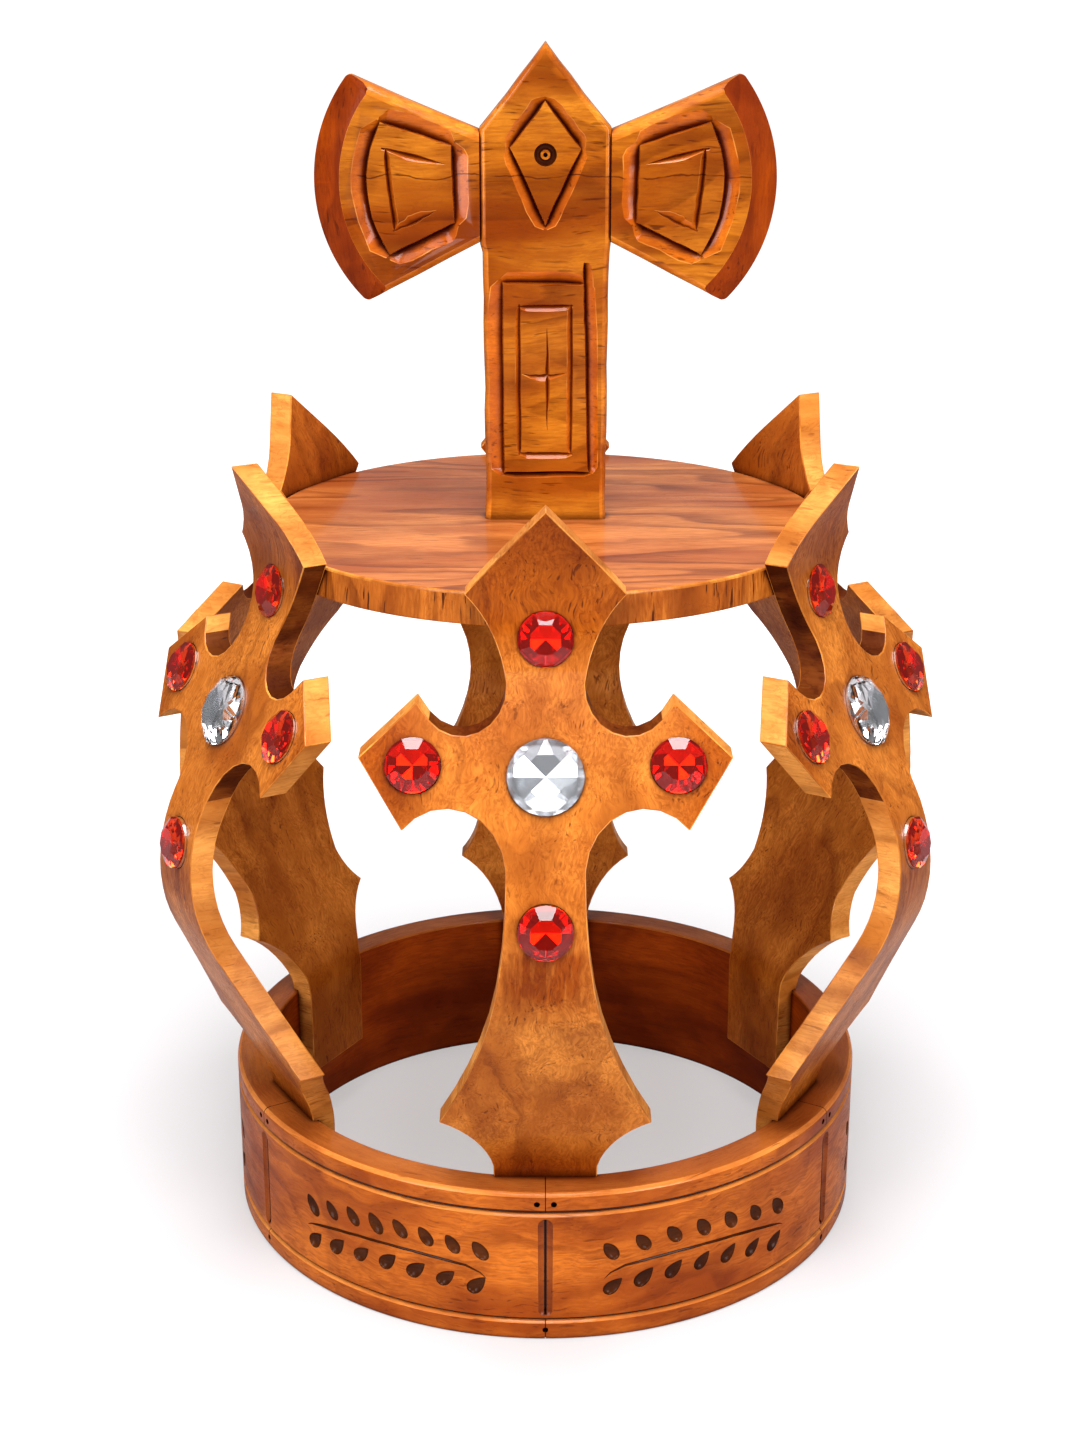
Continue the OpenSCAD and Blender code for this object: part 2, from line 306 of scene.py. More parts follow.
# Height, distance from the axis, radius of the bend
RIB_PATH = [
    (FOOT_Z, 95.4, 0),
    (55, 95.4, 25),
    (141, 138, 53),
    (234, 90, 36),
    (266, 107, 0),
]
# End of the run as half width and height, then the point that an arc passes through, if it is one
RIB_HEAD = [
    [(0, 266)],
    [(23, 239)],
    [(11.2, 214), (14.6, 226)],
    [(33, 205), (22, 201)],
    [(36.5, 209.5)],
    [(53, 195.5)],
    [(40.5, 177)],
]
RIB_SHAFT = [
    [(11.3, 167), (27, 182.5)],
    [(32, 77), (15.6, 124)],
]
BACK_SHAFT = [
    [(31.8, 163), (35, 170.5)],
    [(37.5, 116), (28.6, 145)],
    [(25.5, 90), (28.6, 102)],
    [(32, 77), (27.6, 83)],
]
RIB_FOOT = [
    [(16, 56), (21, 67.5)],
    [(15.5, FOOT_Z)],
]
BACK_RIBS = (3, 4, 5)
# The sawn sides are darker between the arms and the head: half width, lowest and highest place
NOTCH_HALF = 33
NOTCH_LOW = 163
NOTCH_HIGH = 239
# Name, offset to the side, height, diameter, height of the stone
STONES = [
    ("stone_top", 0, 226, 16, 5),
    ("stone_left", -37.5, 193.5, 16, 5),
    ("stone_right", 37.5, 193.5, 16, 5),
    ("stone_middle", 0, 190.5, 22, 6),
    ("stone_low", 0, 151, 16, 5),
]
RING_OUTER = 106
RING_INNER = 95
RING_H = 52
DISC_R = 88.5
DISC_T = 10
DISC_TOP = 237
DISC_LOW = DISC_TOP - DISC_T
AXE_HALF_T = 5
CRACK_Z = 341


def rib_face():
    """The outer face of a rib seen from the side, as distances and heights."""
    out = []
    for i, (height, distance, radius) in enumerate(RIB_PATH):
        here = (distance, height)
        if radius == 0:
            out.append(Vector(here))
            continue
        before, after = RIB_PATH[i - 1], RIB_PATH[i + 1]
        out += bend((before[1], before[0]), here, (after[1], after[0]), radius)
    return out


FACE = rib_face()


def face_r(z):
    """Distance of a rib's outer face from the axis at a height."""
    for a, b in zip(FACE, FACE[1:]):
        if a.y <= z <= b.y:
            return a.x + (b.x - a.x) * (z - a.y) / (b.y - a.y)
    return FACE[-1].x


def on_face(side, z, rib):
    """Where a stone sits on a rib: its Z axis points out of the face."""
    near_by = 6
    slope = (face_r(z + near_by) - face_r(z - near_by)) / (2 * near_by)
    lean = Matrix.Rotation(math.pi / 2 + math.atan(slope), 4, "X")
    return rib_turn(rib) @ Matrix.Translation(at((side, -face_r(z), z))) @ lean


def rib_turn(rib):
    """The turn about the axis from the front rib to another."""
    return Matrix.Rotation((rib - 1) * STEP, 4, "Z")


# Materials

def plain_group(name, inputs, outputs):
    """An empty node group with named sockets."""
    kinds = {"f": "NodeSocketFloat", "c": "NodeSocketColor", "v": "NodeSocketVector"}
    tree = bpy.data.node_groups.new(name, "ShaderNodeTree")
    for label, (kind, value) in inputs.items():
        socket = tree.interface.new_socket(label, in_out="INPUT", socket_type=kinds[kind])
        if value is not None:
            socket.default_value = value
    for label, kind in outputs.items():
        tree.interface.new_socket(label, in_out="OUTPUT", socket_type=kinds[kind])
    start = tree.nodes.new("NodeGroupInput")
    end = tree.nodes.new("NodeGroupOutput")
    return tree, start.outputs, end.inputs


def put(socket, value):
    """Links or sets one input."""
    if isinstance(value, bpy.types.NodeSocket):
        socket.id_data.links.new(value, socket)
    elif value is not None:
        socket.default_value = value


def math_node(tree, operation, a, b=None, c=None, clamp=False):
    """One step of arithmetic on up to three values."""
    node = tree.nodes.new("ShaderNodeMath")
    node.operation = operation
    node.use_clamp = clamp
    for socket, value in zip(node.inputs, (a, b, c)):
        put(socket, value)
    return node.outputs[0]


def vector_node(tree, operation, a, b=None):
    """One step of arithmetic on places."""
    node = tree.nodes.new("ShaderNodeVectorMath")
    node.operation = operation
    put(node.inputs[0], a)
    put(node.inputs["Scale" if operation == "SCALE" else 1], b)
    return node.outputs["Value" if operation == "LENGTH" else "Vector"]


def axis_parts(tree, place):
    """The three parts of a place."""
    parts = tree.nodes.new("ShaderNodeSeparateXYZ")
    put(parts.inputs[0], place)
    return parts.outputs


def darker(tree, colour, share):
    """A colour times another."""
    return blend(tree, 1.0, colour, (*share, 1), "MULTIPLY")


def noise(tree, vector, scale, detail=2, rough=0.5, twist=0, output="Fac"):
    """Soft noise with so many spots to the metre."""
    node = tree.nodes.new("ShaderNodeTexNoise")
    settings = {"Vector": vector, "Scale": scale, "Detail": detail, "Roughness": rough, "Distortion": twist}
    for label, value in settings.items():
        put(node.inputs[label], value)
    return node.outputs[output]


def spread(tree, value, low, high, first=0.0, last=1.0):
    """Stretches a value from low and high to first and last, smoothly."""
    node = tree.nodes.new("ShaderNodeMapRange")
    node.interpolation_type = "SMOOTHSTEP"
    settings = {"Value": value, "From Min": low, "From Max": high, "To Min": first, "To Max": last}
    for label, number in settings.items():
        put(node.inputs[label], number)
    return node.outputs[0]


def blend(tree, share, a, b, kind="MIX"):
    """Mixes two colours."""
    node = tree.nodes.new("ShaderNodeMix")
    node.data_type = "RGBA"
    node.blend_type = kind
    put(node.inputs[0], share)
    put(node.inputs[6], a)
    put(node.inputs[7], b)
    return node.outputs[2]


def drifted(tree, place, source, scale, detail, reach):
    """A place pushed about by noise, no further than half the reach."""
    drift = noise(tree, source, scale, detail, output="Color")
    drift = vector_node(tree, "SUBTRACT", drift, (0.5, 0.5, 0.5))
    return vector_node(tree, "ADD", place, vector_node(tree, "SCALE", drift, reach))


def growth_lines(tree, along, count):
    """Late wood: thin dark lines that fade out on one side and come and go."""
    ring = math_node(tree, "FRACT", math_node(tree, "MULTIPLY", noise(tree, along, 26, 2, 0.4), count))
    line = math_node(tree, "MULTIPLY", spread(tree, ring, 0.35, 0.9), spread(tree, ring, 0.9, 1.0, 1, 0))
    return math_node(tree, "MULTIPLY", line, spread(tree, noise(tree, along, 70, 2), 0.3, 0.6, 0.35, 1))


def burl_curls(tree, place, own):
    """The small curls of burl wood, in patches."""
    strokes = vector_node(tree, "MULTIPLY", place, (0.4, 1, 1))
    burl = math_node(tree, "SUBTRACT", noise(tree, strokes, 420, 2, 0.5, 1.2), 0.5)
    burl = spread(tree, math_node(tree, "ABSOLUTE", burl), 0.0, 0.055, 1, 0)
    burl = math_node(tree, "MULTIPLY", burl, spread(tree, noise(tree, own, 130, 2), 0.36, 0.6))
    return math_node(tree, "MAXIMUM", burl, spread(tree, noise(tree, strokes, 420, 2, 0.5, 2), 0.52, 0.78))


def short_flecks(tree, place, threads, length, amount):
    """Short dark pores along the fibres, in some places more than in others."""
    fleck = noise(tree, threads, math_node(tree, "DIVIDE", 1100, length), 1.5, 0.5)
    sparse = spread(tree, noise(tree, place, 60, 1), 0.4, 0.62, 0.0, 1.0)
    fleck = math_node(tree, "MULTIPLY", spread(tree, fleck, 0.61, 0.70), sparse)
    return math_node(tree, "MULTIPLY", fleck, amount)


def make_wood_group():
    """Wood with its fibres along X: growth lines, fibres, clouds of stain, burl curls and flecks."""
    tree, inp, out = plain_group("wood", {
        "Vector": ("v", None),
        "Pale": ("c", (0.6, 0.3, 0.1, 1)),
        "Middle": ("c", (0.4, 0.17, 0.05, 1)),
        "Dark": ("c", (0.12, 0.04, 0.01, 1)),
        "Figure": ("f", 0.7),
        "Lines": ("f", 0.4),
        "Line Count": ("f", 12.0),
        "Stretch": ("f", 0.2),
        "Fibres": ("f", 0.4),
        "Clouds": ("f", 0.4),
        "Cloud Scale": ("f", 30.0),
        "Curls": ("f", 0.2),
        "Flecks": ("f", 0.6),
        "Fleck Length": ("f", 1.0),
        "Swirl": ("f", 0.0),
    }, {"Color": "c", "Height": "f", "Sheen": "f"})
    own = inp["Vector"]
    place = drifted(tree, own, own, 22, 3, 0.008)
    place = drifted(tree, place, own, 110, 1, inp["Swirl"])
    run = tree.nodes.new("ShaderNodeCombineXYZ")
    put(run.inputs[0], inp["Stretch"])
    put(run.inputs[1], 1.0)
    put(run.inputs[2], 1.0)
    along = vector_node(tree, "MULTIPLY", place, run.outputs[0])
    threads = vector_node(tree, "MULTIPLY", place, (0.09, 1, 1))
    late = growth_lines(tree, along, inp["Line Count"])
    broad = spread(tree, noise(tree, along, 48, 3, 0.55), 0.34, 0.66)
    fibre = spread(tree, noise(tree, threads, 1300, 3, 0.6), 0.35, 0.65)
    cloud = spread(tree, noise(tree, own, inp["Cloud Scale"], 4, 0.5, 0.6), 0.4, 0.66)
    curl = burl_curls(tree, place, own)
    fleck = short_flecks(tree, place, threads, inp["Fleck Length"], inp["Flecks"])
    colour = inp["Pale"]
    for amount, share in ((broad, "Figure"), (fibre, "Fibres")):
        colour = blend(tree, math_node(tree, "MULTIPLY", amount, inp[share]), colour, inp["Middle"])
    for amount, share, deep in ((cloud, "Clouds", (0.50, 0.30, 0.14)), (late, "Lines", (0.34, 0.20, 0.12)),
                                (curl, "Curls", (0.45, 0.28, 0.15))):
        amount = math_node(tree, "MULTIPLY", amount, inp[share])
        colour = blend(tree, amount, colour, darker(tree, colour, deep))
    put(out["Color"], blend(tree, fleck, colour, inp["Dark"]))
    put(out["Height"], math_node(tree, "SUBTRACT", math_node(tree, "MULTIPLY", fibre, 0.35), fleck))
    matt = math_node(tree, "MULTIPLY", cloud, 0.12)
    put(out["Sheen"], math_node(tree, "MULTIPLY_ADD", fibre, 0.12, matt))
    return tree


def make_rib_stain_and_shade():
    """Where a rib is browner: at its foot and the ends of its arms, in stain drips below its low stone, and
    with painted shade on its head. The ribs at the sides have a thin painted shade all over, and weaker
    mottling. Heights and distances are in metres."""
    tree, inp, out = plain_group("rib stain and shade", {"Vector": ("v", None)}, {"Mask": "f"})
    x, y, z = axis_parts(tree, inp["Vector"])
    turn = math_node(tree, "ARCTAN2", x, math_node(tree, "MULTIPLY", y, -1.0))
    turn = math_node(tree, "PINGPONG", turn, STEP / 2)
    flat = vector_node(tree, "MULTIPLY", inp["Vector"], (1, 1, 0))
    side = math_node(tree, "MULTIPLY", vector_node(tree, "LENGTH", flat), math_node(tree, "SINE", turn))
    aside = math_node(tree, "ABSOLUTE", x)
    drips = vector_node(tree, "MULTIPLY", inp["Vector"], (1, 1, 0.15))
    drips = spread(tree, noise(tree, drips, 500, 2), 0.35, 0.6, 0.5, 1.5)
    below = math_node(tree, "MULTIPLY", spread(tree, z, 0.118, 0.138), spread(tree, z, 0.143, 0.147, 1, 0))
    below = math_node(tree, "MULTIPLY", below, spread(tree, side, 0.005, 0.016, 1, 0))
    mask = math_node(tree, "MULTIPLY", below, drips)
    # The head's darkening is painted shade
    head = spread(tree, z, 0.211, 0.236)
    foot = spread(tree, z, 0.053, 0.075, 1, 0)
    arms = spread(tree, side, 0.024, 0.047, 0, 0.95)
    # A thin painted shade over the ribs at the sides
    thin = spread(tree, aside, 0.055, 0.08, 0, 0.5)
    for part in (head, foot, arms, thin):
        mask = math_node(tree, "MAXIMUM", mask, part)
    mottle = spread(tree, noise(tree, inp["Vector"], 38, 3), 0.3, 0.7, 0.85, 1.25)
    mottle = math_node(tree, "MULTIPLY", mottle, spread(tree, aside, 0.055, 0.08, 1, 0.6))
    put(out["Mask"], math_node(tree, "MULTIPLY", mask, mottle, clamp=True))
    return tree


def make_axe_stain():
    """Where the axe is stained browner: in clouds, less towards its point and its foot."""
    tree, inp, out = plain_group("axe stain", {"Vector": ("v", None)}, {"Mask": "f"})
    z = axis_parts(tree, inp["Vector"])[2]
    mask = spread(tree, noise(tree, inp["Vector"], 24, 3), 0.35, 0.65, 0.4, 0.85)
    mask = math_node(tree, "MULTIPLY", mask, spread(tree, z, 0.345, 0.376, 1, 0.15))
    put(out["Mask"], math_node(tree, "MULTIPLY", mask, spread(tree, z, 0.250, 0.275, 0.4, 1)))
    return tree


def make_crack():
    """A hairline that crosses the axe from side to side, open here and closed there."""
    tree, inp, out = plain_group("crack", {"Vector": ("v", None)}, {"Mask": "f"})
    z = axis_parts(tree, inp["Vector"])[2]
    sway = math_node(tree, "MULTIPLY", noise(tree, inp["Vector"], 60, 4), 0.006)
    away = math_node(tree, "SUBTRACT", math_node(tree, "SUBTRACT", z, sway), CRACK_Z * MM)
    line = spread(tree, math_node(tree, "ABSOLUTE", away), 0.00005, 0.00035, 1, 0)
    gaps = noise(tree, vector_node(tree, "MULTIPLY", inp["Vector"], (1, 0, 0)), 90, 2)
    put(out["Mask"], math_node(tree, "MULTIPLY", line, spread(tree, gaps, 0.38, 0.5, 0, 0.9)))
    return tree


def make_round_run():
    """Unrolls a place round the axis, so that fibres can follow the ring."""
    tree, inp, out = plain_group("round run", {"Vector": ("v", None)}, {"Vector": "v"})
    x, y, z = axis_parts(tree, inp["Vector"])
    turn = math_node(tree, "ARCTAN2", x, math_node(tree, "MULTIPLY", y, -1.0))
    flat = vector_node(tree, "MULTIPLY", inp["Vector"], (1, 1, 0))
    join = tree.nodes.new("ShaderNodeCombineXYZ")
    put(join.inputs[0], math_node(tree, "MULTIPLY", turn, RING_OUTER * MM))
    put(join.inputs[1], vector_node(tree, "LENGTH", flat))
    put(join.inputs[2], z)
    put(out["Vector"], join.outputs[0])
    return tree


def make_ageing_and_shade():
    """Browner where a stain mask says so, which on the ribs also holds painted shade, dark along cracks,
    and darkest in crevices of the given width: painted shade, from how closed in a spot is.
    """
    tree, inp, out = plain_group("ageing and shade", {
        "Color": ("c", (0.5, 0.2, 0.05, 1)),
        "Stain": ("f", 0.0),
        "Crack": ("f", 0.0),
        "Crack Color": ("c", (0.1, 0.02, 0.0, 1)),
        "Crevice Width": ("f", 0.003),
    }, {"Color": "c"})
    colour = blend(tree, inp["Stain"], inp["Color"], darker(tree, inp["Color"], (0.56, 0.36, 0.12)))
    colour = blend(tree, inp["Crack"], colour, inp["Crack Color"])
    # Painted shade: the less open a spot is, the darker its colour
    open_share = tree.nodes.new("ShaderNodeAmbientOcclusion")
    open_share.samples = 8
    put(open_share.inputs["Distance"], inp["Crevice Width"])
    crevice = spread(tree, open_share.outputs["AO"], 0.3, 0.95, 1, 0)
    put(out["Color"], blend(tree, crevice, colour, darker(tree, colour, (0.20, 0.09, 0.05))))
    return tree


WOOD = make_wood_group()
ROUND_RUN = make_round_run()
AGEING_AND_SHADE = make_ageing_and_shade()
RIB_STAIN_AND_SHADE = make_rib_stain_and_shade()
AXE_STAIN = make_axe_stain()
CRACK = make_crack()


def group_node(tree, group, **values):
    """A group in use, with its inputs linked or set by name."""
    node = tree.nodes.new("ShaderNodeGroup")
    node.node_tree = group
    for label, value in values.items():
        put(node.inputs[label.replace("_", " ").title()], value)
    return node


def rubbed_and_highlit_slope(tree, colour, place, rim_colour):
    """Carved slopes of the axe: darker towards their bottom, here and there pale along their rim, where
    they are worn and a highlight is painted.
    """
    up = math_node(tree, "DIVIDE", math_node(tree, "ABSOLUTE", axis_parts(tree, place)[1]), MM)
    bottom = spread(tree, up, AXE_HALF_T - 2.1, AXE_HALF_T - 0.9, 1, 0)
    colour = blend(tree, bottom, colour, darker(tree, colour, (0.34, 0.18, 0.10)))
    # Pale rim: worn, with a painted highlight
    rim = spread(tree, up, AXE_HALF_T - 0.22, AXE_HALF_T - 0.08)
    worn = spread(tree, noise(tree, place, 110, 2), 0.42, 0.62, 0.0, 0.5)
    return blend(tree, math_node(tree, "MULTIPLY", rim, worn), colour, (*rim_colour, 1))


def wood(name, direction, pale, middle, dark, gloss=0.3, coat=0.35, stain=None, crack=None, shade_reach=3,
         rim=None, **grain_settings):
    """A varnished wood. direction names where its fibres run: x, z, level or round the axis.
    stain and crack are groups that give masks, the ribs' stain mask holding painted shade as well, crease
    is the width in millimetres of crevices darkened with painted shade, and rim is the pale colour along
    the upper edge of carved slopes, worn and with a painted highlight."""
    material = bpy.data.materials.new(name)
    material.use_nodes = True
    tree = material.node_tree
    shader = tree.nodes["Principled BSDF"]
    own = tree.nodes.new("ShaderNodeTexCoord").outputs["Object"]
    place = own
    if direction == "round":
        place = group_node(tree, ROUND_RUN, vector=own).outputs["Vector"]
    elif direction == "z":
        turned = tree.nodes.new("ShaderNodeMapping")
        turned.inputs["Rotation"].default_value = (0, math.pi / 2, 0)
        put(turned.inputs["Vector"], own)
        place = turned.outputs[0]
    elif direction == "level":
        place = vector_node(tree, "MULTIPLY", own, (1, 0.2, 1))
    colours = {"pale": (*pale, 1), "middle": (*middle, 1), "dark": (*dark, 1)}
    grain = group_node(tree, WOOD, vector=place, **colours, **grain_settings).outputs
    colour = rubbed_and_highlit_slope(tree, grain["Color"], own, rim) if rim else grain["Color"]
    masks = {label: group_node(tree, group, vector=own).outputs["Mask"]
             for label, group in (("stain", stain), ("crack", crack)) if group}
    aged_and_shaded = group_node(tree, AGEING_AND_SHADE, color=colour, crack_color=colours["dark"], crevice_width=shade_reach * MM,
                      **masks)
    put(shader.inputs["Base Color"], aged_and_shaded.outputs["Color"])
    put(shader.inputs["Roughness"], math_node(tree, "ADD", grain["Sheen"], gloss))
    shader.inputs["Coat Weight"].default_value = coat
    shader.inputs["Coat Roughness"].default_value = 0.12
    shader.inputs["Specular IOR Level"].default_value = 0.05
    relief = tree.nodes.new("ShaderNodeBump")
    relief.inputs["Strength"].default_value = 0.12
    relief.inputs["Distance"].default_value = 0.4 * MM
    put(relief.inputs["Height"], grain["Height"])
    put(shader.inputs["Normal"], relief.outputs[0])
    return material


def plain_finish(name, **settings):
    """A finish without a pattern, its settings named as the shader names them."""
    material = bpy.data.materials.new(name)
    material.use_nodes = True
    shader = material.node_tree.nodes["Principled BSDF"]
    for label, value in settings.items():
        shader.inputs[label.replace("_", " ")].default_value = value
    return material


def glass(name, colour, ior, glow):
    """A clear stone. The faint glow stands for the light that is caught inside."""
    return plain_finish(name, Base_Color=(*colour, 1), Roughness=0.02, IOR=ior, Transmission_Weight=1,
                        Emission_Color=(*colour, 1), Emission_Strength=glow)


def foil(name, colour, blur):
    """Silvered backing of the stones."""
    return plain_finish(name, Base_Color=(*colour, 1), Metallic=1, Roughness=blur)


def make_finishes():
    """Every finish of the crown by name."""
    return {
        "rib_face": wood("rib_face", "z", (0.85, 0.30, 0.046), (0.46, 0.124, 0.013), (0.12, 0.020, 0.002),
                         figure=0.9, lines=0.4, line_count=7, stretch=0.3, fibres=0.7, clouds=0.6,
                         cloud_scale=26, curls=0.45, flecks=0.75, swirl=0.006, coat=0.14,
                         stain=RIB_STAIN_AND_SHADE, shade_reach=5),
        "rib_side": wood("rib_side", "level", (0.92, 0.40, 0.09), (0.50, 0.15, 0.020), (0.12, 0.02, 0.002),
                         figure=1.0, lines=0.45, line_count=9, fibres=0.4, clouds=0.4, cloud_scale=60,
                         curls=0.3, flecks=0.5, gloss=0.36, coat=0.1),
        "rib_notch": wood("rib_notch", "level", (0.27, 0.066, 0.008), (0.10, 0.020, 0.002),
                          (0.04, 0.008, 0.001), figure=1.0, lines=0.6, line_count=7, stretch=0.5,
                          fibres=0.4, clouds=0.9, cloud_scale=70, curls=0.6, flecks=0.9, gloss=0.45,
                          coat=0.0),
        # Edges of the ribs and of the disc: lighter, worn and with a painted highlight
        "rib_edge_highlight": wood("rib_edge_highlight", "z", (0.86, 0.34, 0.060), (0.52, 0.155, 0.018), (0.25, 0.07, 0.01),
                         figure=1.0, lines=0.1, clouds=0.8, cloud_scale=90, flecks=0.3, shade_reach=1),
        "ring": wood("ring", "round", (0.71, 0.185, 0.018), (0.34, 0.060, 0.004), (0.07, 0.009, 0.001),
                     figure=1.0, lines=0.4, line_count=9, stretch=0.3, fibres=0.55, clouds=0.45,
                     cloud_scale=30, curls=0.2, flecks=0.5, swirl=0.004, gloss=0.25, coat=0.2),
        "ring_groove": wood("ring_groove", "round", (0.36, 0.075, 0.007), (0.20, 0.032, 0.002),
                            (0.05, 0.007, 0.001), figure=0.9, clouds=0.4, gloss=0.22, coat=0.3, shade_reach=3),
        "ring_leaf": wood("ring_leaf", "round", (0.11, 0.025, 0.003), (0.04, 0.008, 0.001),
                          (0.02, 0.004, 0.001), figure=0.9, clouds=0.4, gloss=0.26, coat=0.14, shade_reach=1),
        # The ring's top: a painted sheen in its colour
        "ring_top_sheen": wood("ring_top_sheen", "round", (0.60, 0.175, 0.030), (0.34, 0.07, 0.010),
                         (0.10, 0.014, 0.001), figure=0.9, lines=0.35, line_count=6, fibres=0.4,
                         clouds=0.4, cloud_scale=24, curls=0.2, flecks=0.4, gloss=0.25, coat=0.3),
        # The ring's inner wall: a darker copy of the ring, painted shade
        "ring_inside_shade": wood("ring_inside_shade", "round", (0.44, 0.065, 0.003), (0.18, 0.020, 0.001),
                            (0.03, 0.004, 0.0005), figure=1.0, lines=0.3, line_count=5, clouds=0.5,
                            flecks=0.3, gloss=0.35, coat=0.1),
        # Dark seams and nail holes, and painted shade on the upper walls of the turned grooves
        "ring_cut_and_shade": wood("ring_cut_and_shade", "round", (0.07, 0.014, 0.002), (0.035, 0.006, 0.001),
                         (0.008, 0.002, 0.0005), gloss=0.25, coat=0.3),
        # A painted highlight on the lower walls of the turned grooves and along the outer top edge
        "ring_edge_highlight": wood("ring_edge_highlight", "round", (0.95, 0.34, 0.07), (0.62, 0.15, 0.02),
                          (0.12, 0.02, 0.002), lines=0.2, gloss=0.22, coat=0.3, shade_reach=1),
        # The disc's top: its pale colour a little grey, a painted sheen
        "disc_top": wood("disc_top", "x", (0.68, 0.235, 0.060), (0.36, 0.083, 0.018), (0.10, 0.018, 0.005),
                         figure=1.0, lines=0.7, line_count=11, stretch=0.16, fibres=0.4, clouds=0.35,
                         cloud_scale=14, curls=0.06, flecks=0.5, gloss=0.26, coat=0.35),
        "disc_rim": wood("disc_rim", "z", (0.66, 0.20, 0.024), (0.42, 0.10, 0.010), (0.09, 0.016, 0.002),
                         figure=1.0, lines=0.6, line_count=14, fibres=0.9, clouds=0.5, cloud_scale=40,
                         curls=0.3, flecks=2.0, fleck_length=1.2, coat=0.08),
        "axe": wood("axe", "x", (0.74, 0.27, 0.022), (0.34, 0.075, 0.004), (0.08, 0.011, 0.001),
                    figure=1.0, lines=0.5, line_count=14, fibres=0.45, clouds=0.45, cloud_scale=30,
                    curls=0.15, flecks=0.7, gloss=0.22, coat=0.25, stain=AXE_STAIN, crack=CRACK, shade_reach=6),
        # Carved slopes: pale along the rim, worn and with a painted highlight
        "axe_slope": wood("axe_slope", "x", (0.72, 0.18, 0.009), (0.38, 0.060, 0.002), (0.07, 0.009, 0.001),
                          figure=0.8, lines=0.3, clouds=0.5, gloss=0.14, coat=0.4, crack=CRACK, shade_reach=4,
                          rim=(0.80, 0.36, 0.07)),
        "axe_cut": wood("axe_cut", "x", (0.10, 0.018, 0.002), (0.05, 0.008, 0.001), (0.015, 0.003, 0.0005),
                        gloss=0.3, coat=0.3),
        "axe_bevel": wood("axe_bevel", "z", (0.44, 0.068, 0.002), (0.20, 0.023, 0.0008),
                          (0.05, 0.006, 0.001), figure=0.9, lines=0.4, line_count=10, clouds=0.6,
                          cloud_scale=50, gloss=0.3, coat=0.07),
        "axe_round": wood("axe_round", "x", (0.80, 0.27, 0.022), (0.42, 0.09, 0.005), (0.08, 0.012, 0.001),
                          figure=0.9, lines=0.4, clouds=0.6, cloud_scale=60, gloss=0.14, coat=0.5,
                          crack=CRACK),
        # Cutting edges, bevel ridges and blade corners: lighter, a painted highlight
        "axe_edge_highlight": wood("axe_edge_highlight", "x", (0.85, 0.33, 0.050), (0.42, 0.10, 0.006), (0.2, 0.045, 0.004),
                         figure=1.0, lines=0.1, clouds=0.9, cloud_scale=70, gloss=0.2, coat=0.2, shade_reach=1),
        "ruby": glass("ruby", (0.92, 0.055, 0.006), 1.55, 0.03),
        "crystal": glass("crystal", (0.98, 0.985, 1.0), 1.52, 0.0),
        "foil": foil("foil", (0.90, 0.90, 0.92), 0.06),
        "soft_foil": foil("soft_foil", (0.84, 0.86, 0.89), 0.27),
    }


FINISH = make_finishes()


# Pieces

def half_outline(shaft):
    """One side of a rib's outline, from the tip down."""
    out = []
    for row in RIB_HEAD + shaft + RIB_FOOT:
        out += [row[0]] if len(row) == 1 else arc_through(out[-1], row[1], row[0])
    return out


def clear_of_ring_and_disc(board):
    """Takes the room of the ring's wall and of the disc out of a rib."""
    low, high = FOOT_Z - BEYOND, RING_H + GAP
    inner, outer = RING_INNER - GAP, RING_OUTER + BEYOND
    carve(board, lathe("wall", [(inner, low), (outer, low), (outer, high), (inner, high)]))
    carve(board, drum("round", DISC_R + GAP, DISC_LOW - GAP, DISC_TOP + GAP))


def rib_board(shaft):
    """The front rib's bent board with a given shaft: sawn from the front, then cut to its bend."""
    right = half_outline(shaft)
    left = [(-x, z) for x, z in reversed(right) if x > 0]
    board = prism("board", [(x, 0, z) for x, z in right + left], (0, -REACH, 0))
    dress(board, FINISH["rib_side"])
    section = FACE + moved(FACE, RIB_THICK)[::-1]
    form = prism("form", [(-FORM_HALF, -p.x, p.y) for p in section], (2 * FORM_HALF, 0, 0))
    dress(form, FINISH["rib_face"])
    carve(board, form, "INTERSECT")
    board.data.materials.append(FINISH["rib_edge_highlight"])
    board.data.materials.append(FINISH["rib_notch"])
    sawn, edge, notch = 0, 2, 3
    for face in board.data.polygons:
        spot = Vector(face.center) / MM
        inside = abs(spot.x) < NOTCH_HALF and NOTCH_LOW < spot.z < NOTCH_HIGH
        if face.material_index == sawn and inside:
            face.material_index = notch
    # Rounded edges, lighter in colour: a painted highlight
    wear_and_highlight(board, RIB_EDGE_R, edge)
    clear_of_ring_and_disc(board)
    for _, x, z, across, _ in STONES:
        seat = drum("seat", across / 2 + GAP, -SEAT_DEPTH, SEAT_OVER, 48)
        carve(board, placed(seat, on_face(x, z, 1)))
    return smooth(board)


def make_ribs():
    """Six boards from two models: slim in front and at the sides, broad at the back."""
    slim, broad = rib_board(RIB_SHAFT), rib_board(BACK_SHAFT)
    for i in range(1, RIB_COUNT + 1):
        model = broad if i in BACK_RIBS else slim
        board = twin(model, f"rib_board_{i}", rib_turn(i))
        hand_in(board, "rib_wood", f"rib_{i}")
    for model in (slim, broad):
        bpy.data.meshes.remove(model.data)


